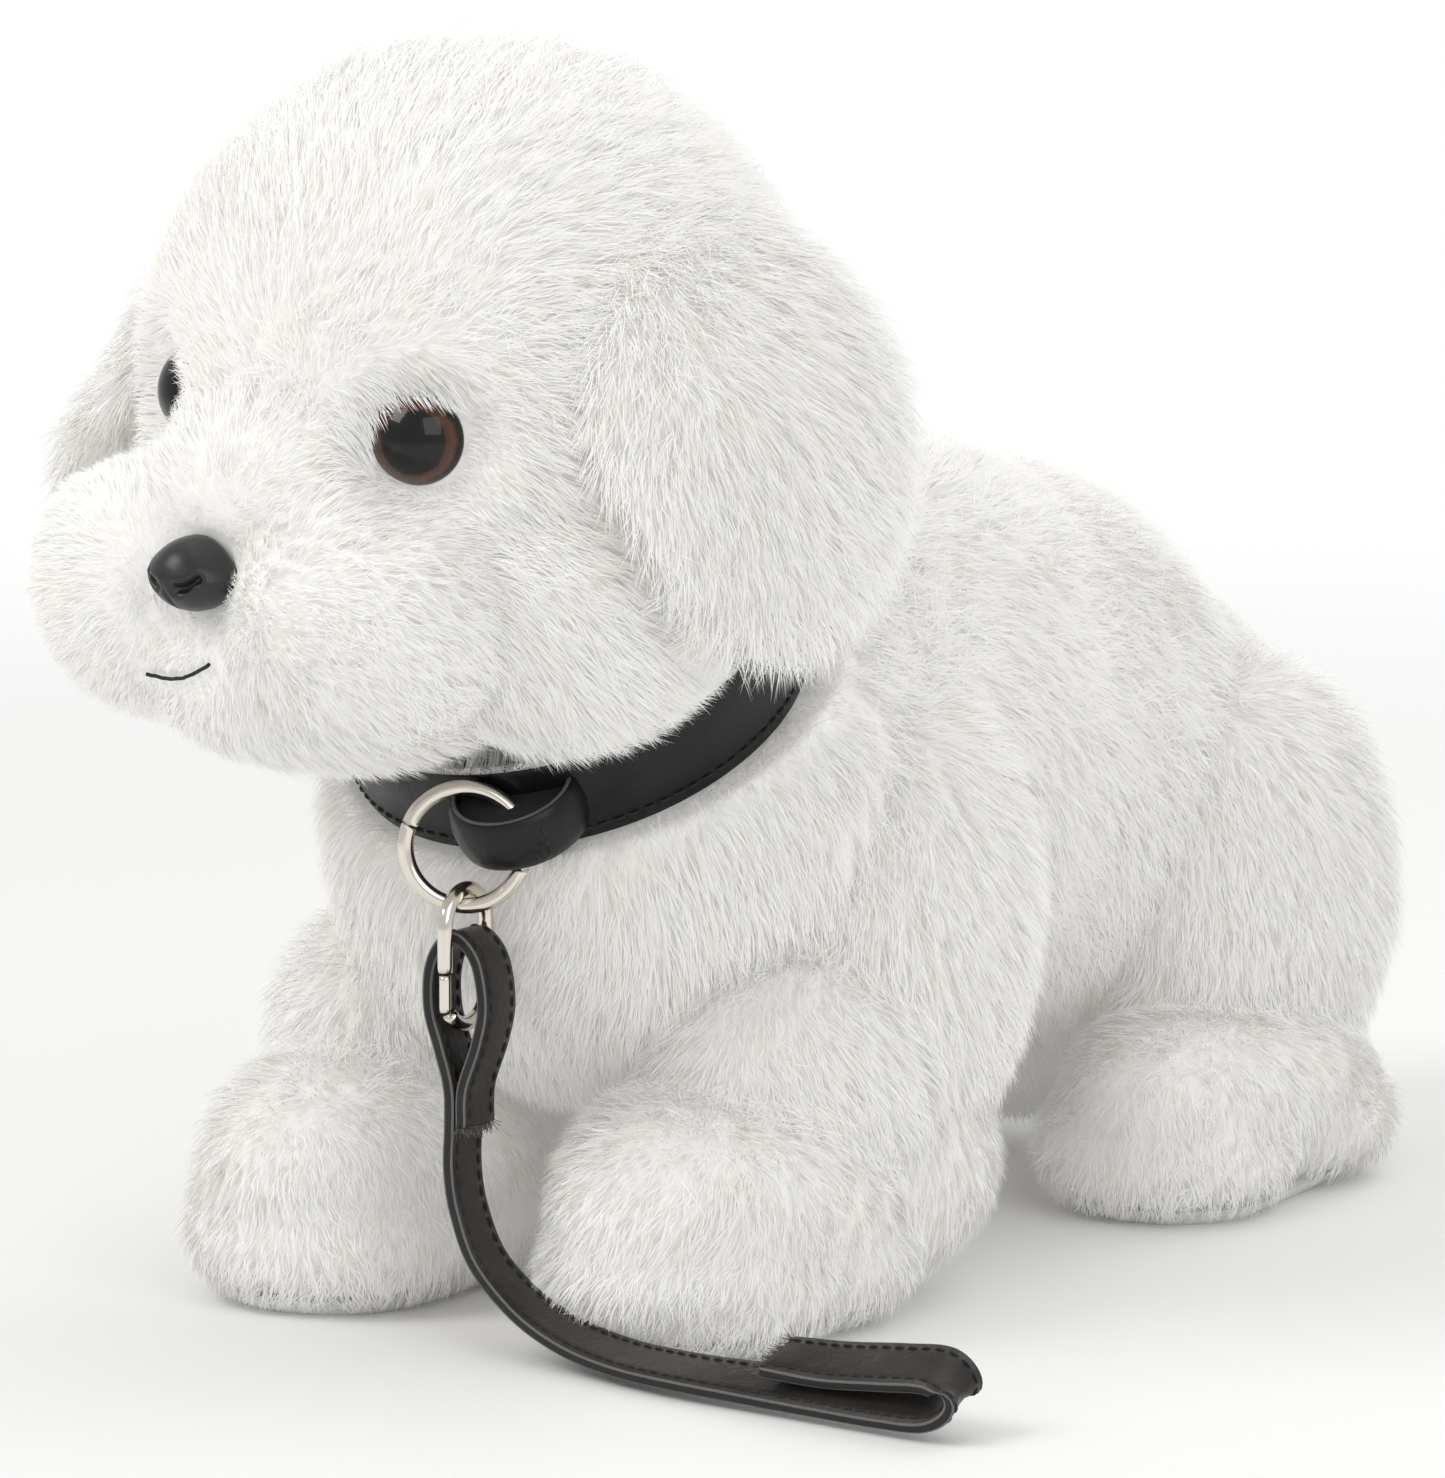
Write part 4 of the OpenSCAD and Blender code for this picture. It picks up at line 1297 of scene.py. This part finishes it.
class PUPPY_OT_leash(bpy.types.Operator):
    """Make the leash strap with its stitching and frayed ends"""

    bl_idname = "puppy.leash"
    bl_label = "Leash"

    def execute(self, context):
        sizes = context.scene.puppy_sizes
        route = catmull_rom(LEASH_ROUTE, 10)
        line, lean = route[:, :3], np.radians(route[:, 3])
        along = unit(np.gradient(line, axis=0))
        wish = np.stack([0 * lean, np.cos(lean), np.sin(lean)], 1)
        across = unit(wish - along * (wish * along).sum(1, keepdims=True))
        up = np.cross(along, across)
        wide = np.interp(np.arange(len(line)), [0, 150, 200, len(line)], [0, 0, 1, 1])
        half = sizes.leash_width / 2 + 0.8 * wide
        thick = sizes.leash_thickness / 2
        self.strap(line, across, up, half, thick)
        self.sewing(line, across, up, half, thick)
        self.frays(line, across, up, half, thick)
        return {"FINISHED"}

    def strap(self, line, across, up, half, thick):
        """Two leather faces over a felt core, with a pale line where they meet."""
        face = [(-0.96, 1.0, 0), (-0.5, 1.12, 0), (0.0, 1.16, 0), (0.5, 1.12, 0), (0.96, 1.0, 2)]
        edge = [(1.0, 0.62, 1), (1.0, -0.62, 2)]
        section = face + edge
        section += [(0.96, -1.0, 0), (0.5, -1.12, 0), (0.0, -1.16, 0), (-0.5, -1.12, 0), (-0.96, -1.0, 2)]
        section += [(-1.0, -0.62, 1), (-1.0, 0.62, 2)]
        size, count = len(section), len(line)
        points = []
        for k in range(count):
            wide, tall = across[k] * half[k], up[k] * thick
            points += [line[k] + wide * u + tall * v for u, v, _ in section]
        faces, index = [], []
        for k in range(count - 1):
            for j in range(size):
                i = (j + 1) % size
                faces.append((k * size + j, k * size + i, k * size + size + i, k * size + size + j))
                index.append(section[j][2])
        faces += [tuple(range(size))[::-1], tuple((count - 1) * size + j for j in range(size))]
        index += [1, 1]
        mesh = mesh_from("leash_band", points, faces)
        mesh.polygons.foreach_set("material_index", index)
        mats = [bpy.data.materials[n] for n in ("leash_leather", "felt_dark", "edge_pale")]
        obj = finished(add_object("leash_band", mesh), "leash", "leash_leather", *mats)
        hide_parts("leash_strap")

    def sewing(self, line, across, up, half, thick):
        rows = []
        for side in (-0.72, 0.72):
            for face in (1, -1):
                spots = line + across * (half * side)[:, None] + up * (face * thick * 1.1)
                rows.append(stitches(spots, up * face, 3.0, 2.1, 0.24))
        points, faces = joined(rows)
        self.thread("leash_sewing", points, faces, "leash_stitches")
        seam = []
        for at in HAND_LOOP_SEAMS:
            ends = np.linspace(-0.9, 0.9, 30)[:, None]
            spots = line[at] + across[at] * half[at] * ends + up[at] * thick * 1.2
            seam.append(stitches(spots, np.tile(up[at], (30, 1)), 1.9, 1.4, 0.3))
        points, faces = joined(seam)
        self.thread("hand_loop_sewing", points, faces, "hand_loop_stitches")

    def thread(self, name, points, faces, node):
        obj = add_object(name, mesh_from(name, points, faces))
        finished(obj, "leash", "thread", material("thread"))
        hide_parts(node)

    def frays(self, line, across, up, half, thick):
        """Loose fibres at both cut ends."""
        rng = np.random.default_rng(SEED)
        rows = []
        for at, way in ((0, -1), (len(line) - 1, 1)):
            along = unit(line[1] - line[0]) if at == 0 else unit(line[-1] - line[-2])
            for _ in range(260):
                root = line[at] + across[at] * half[at] * rng.uniform(-1, 1)
                root = root + up[at] * thick * rng.uniform(-1, 1)
                lean = unit(way * along + 0.55 * rng.normal(size=3))
                reach = rng.uniform(0.8, 2.6)
                bend = rng.normal(size=3) * 0.3
                spots = np.array([root, root + lean * reach * 0.5 + bend * 0.5, root + lean * reach + bend])
                spots[:, 2] = np.maximum(spots[:, 2], 0.3)
                rows.append(tube(spots, 0.07, sides=3))
        points, faces = joined(rows)
        obj = add_object("leash_frays", mesh_from("leash_frays", points, faces))
        finished(obj, "leash", "thread", material("edge_pale"))


class PUPPY_OT_stage(bpy.types.Operator):
    """Make the floor, the lights and the camera"""

    bl_idname = "puppy.stage"
    bl_label = "Stage"

    def execute(self, context):
        mesh = bpy.data.meshes.new("floor")
        angles = np.radians(np.arange(0, 360, 3))
        rim = [(FLOOR_R * math.cos(a), FLOOR_R * math.sin(a), 0) for a in angles]
        mesh.from_pydata(rim, [], [tuple(range(len(rim)))])
        mesh.materials.append(self.paper())
        floor = add_object("floor", mesh)
        lights = [
            self.area("key_light", (-0.9, -1.3, 1.5), (0, 0, 0.1), 1.0, 15, (1.0, 0.99, 0.97)),
            self.area("fill_light", (1.4, -0.9, 0.9), (0, 0, 0.1), 1.2, 7, (0.97, 0.98, 1.0)),
            self.area("top_light", (0.1, 0.2, 1.7), (0, 0, 0), 1.3, 3.5, (1, 1, 1)),
            self.area("rim_light", (0.3, 1.1, 0.9), (0, 0, 0.12), 0.8, 2.5, (1, 1, 1)),
        ]
        self.world()
        self.camera()
        context.scene.view_settings.view_transform = "Standard"
        context.scene.view_settings.exposure = 0.0
        return {"FINISHED"}

    def paper(self):
        """White paper that fades into the white surroundings."""
        mat, tree, shader = new_material("studio_paper")
        place = tree.nodes.new("ShaderNodeTexCoord")
        away = add_node(tree, "ShaderNodeVectorMath", operation="LENGTH")
        fade = add_node(tree, "ShaderNodeMapRange", interpolation_type="SMOOTHSTEP")
        fade.inputs["From Min"].default_value = 0.4 * FLOOR_R
        fade.inputs["From Max"].default_value = 0.95 * FLOOR_R
        fade.inputs["To Min"].default_value = 1
        fade.inputs["To Max"].default_value = 0
        tree.links.new(place.outputs["Object"], away.inputs[0])
        tree.links.new(away.outputs["Value"], fade.inputs["Value"])
        tree.links.new(fade.outputs["Result"], shader.inputs["Alpha"])
        set_inputs(shader, Base_Color=(0.90, 0.90, 0.89), Roughness=0.6)
        return mat

    def area(self, name, at, target, size, watts, colour):
        light = bpy.data.lights.new(name, "AREA")
        light.size = size
        light.energy = watts
        light.color = colour
        obj = bpy.data.objects.new(name, light)
        bpy.context.scene.collection.objects.link(obj)
        obj.location = at
        obj.rotation_euler = (Vector(target) - Vector(at)).to_track_quat("-Z", "Y").to_euler()
        return obj

    def world(self):
        world = bpy.data.worlds.new("studio")
        world.use_nodes = True
        tree = world.node_tree
        shade = tree.nodes["Background"]
        seen = tree.nodes.new("ShaderNodeLightPath")
        strength = add_node(tree, "ShaderNodeMapRange")
        strength.inputs["To Min"].default_value = 0.68
        strength.inputs["To Max"].default_value = 1.0
        tree.links.new(seen.outputs["Is Camera Ray"], strength.inputs["Value"])
        tree.links.new(strength.outputs["Result"], shade.inputs["Strength"])
        shade.inputs["Color"].default_value = (1, 1, 1, 1)
        bpy.context.scene.world = world

    def camera(self):
        azimuth, elevation = math.radians(CAMERA_AZIMUTH), math.radians(CAMERA_HEIGHT)
        target = Vector(CAMERA_TARGET) * MM
        level = math.cos(elevation)
        toward = Vector((math.sin(azimuth) * level, -math.cos(azimuth) * level, math.sin(elevation)))
        lens = bpy.data.cameras.new("camera")
        lens.lens = CAMERA_LENS
        obj = bpy.data.objects.new("camera", lens)
        bpy.context.scene.collection.objects.link(obj)
        obj.location = target + toward * CAMERA_AWAY
        obj.rotation_euler = (-toward).to_track_quat("-Z", "Y").to_euler()
        bpy.context.scene.camera = obj


# ---- Add-on ----


OPERATORS = (
    PUPPY_OT_materials,
    PUPPY_OT_washers,
    PUPPY_OT_head,
    PUPPY_OT_ears,
    PUPPY_OT_torso,
    PUPPY_OT_legs,
    PUPPY_OT_eyes,
    PUPPY_OT_nose,
    PUPPY_OT_mouth,
    PUPPY_OT_collar,
    PUPPY_OT_hardware,
    PUPPY_OT_leash,
    PUPPY_OT_stage,
)


class PUPPY_PT_panel(bpy.types.Panel):
    """The puppy's settings and the pieces it is built from"""

    bl_idname = "PUPPY_PT_panel"
    bl_label = "Plush puppy"
    bl_space_type = "VIEW_3D"
    bl_region_type = "UI"
    bl_category = "Puppy"

    def draw(self, context):
        for group in (context.scene.puppy_pile, context.scene.puppy_sizes, context.scene.puppy_colours):
            for key in group.__annotations__:
                self.layout.prop(group, key)
        for operator in OPERATORS:
            self.layout.operator(operator.bl_idname)


SETTINGS = {"puppy_pile": PuppyPile, "puppy_colours": PuppyColours, "puppy_sizes": PuppySizes}
CLASSES = (*SETTINGS.values(), *OPERATORS, PUPPY_PT_panel)


def register():
    for cls in CLASSES:
        bpy.utils.register_class(cls)
    for name, group in SETTINGS.items():
        setattr(bpy.types.Scene, name, bpy.props.PointerProperty(type=group))


def unregister():
    for name in SETTINGS:
        delattr(bpy.types.Scene, name)
    for cls in reversed(CLASSES):
        bpy.utils.unregister_class(cls)


def main():
    register()
    for operator in OPERATORS:
        group, name = operator.bl_idname.split(".")
        getattr(getattr(bpy.ops, group), name)()


if __name__ == "__main__":
    main()
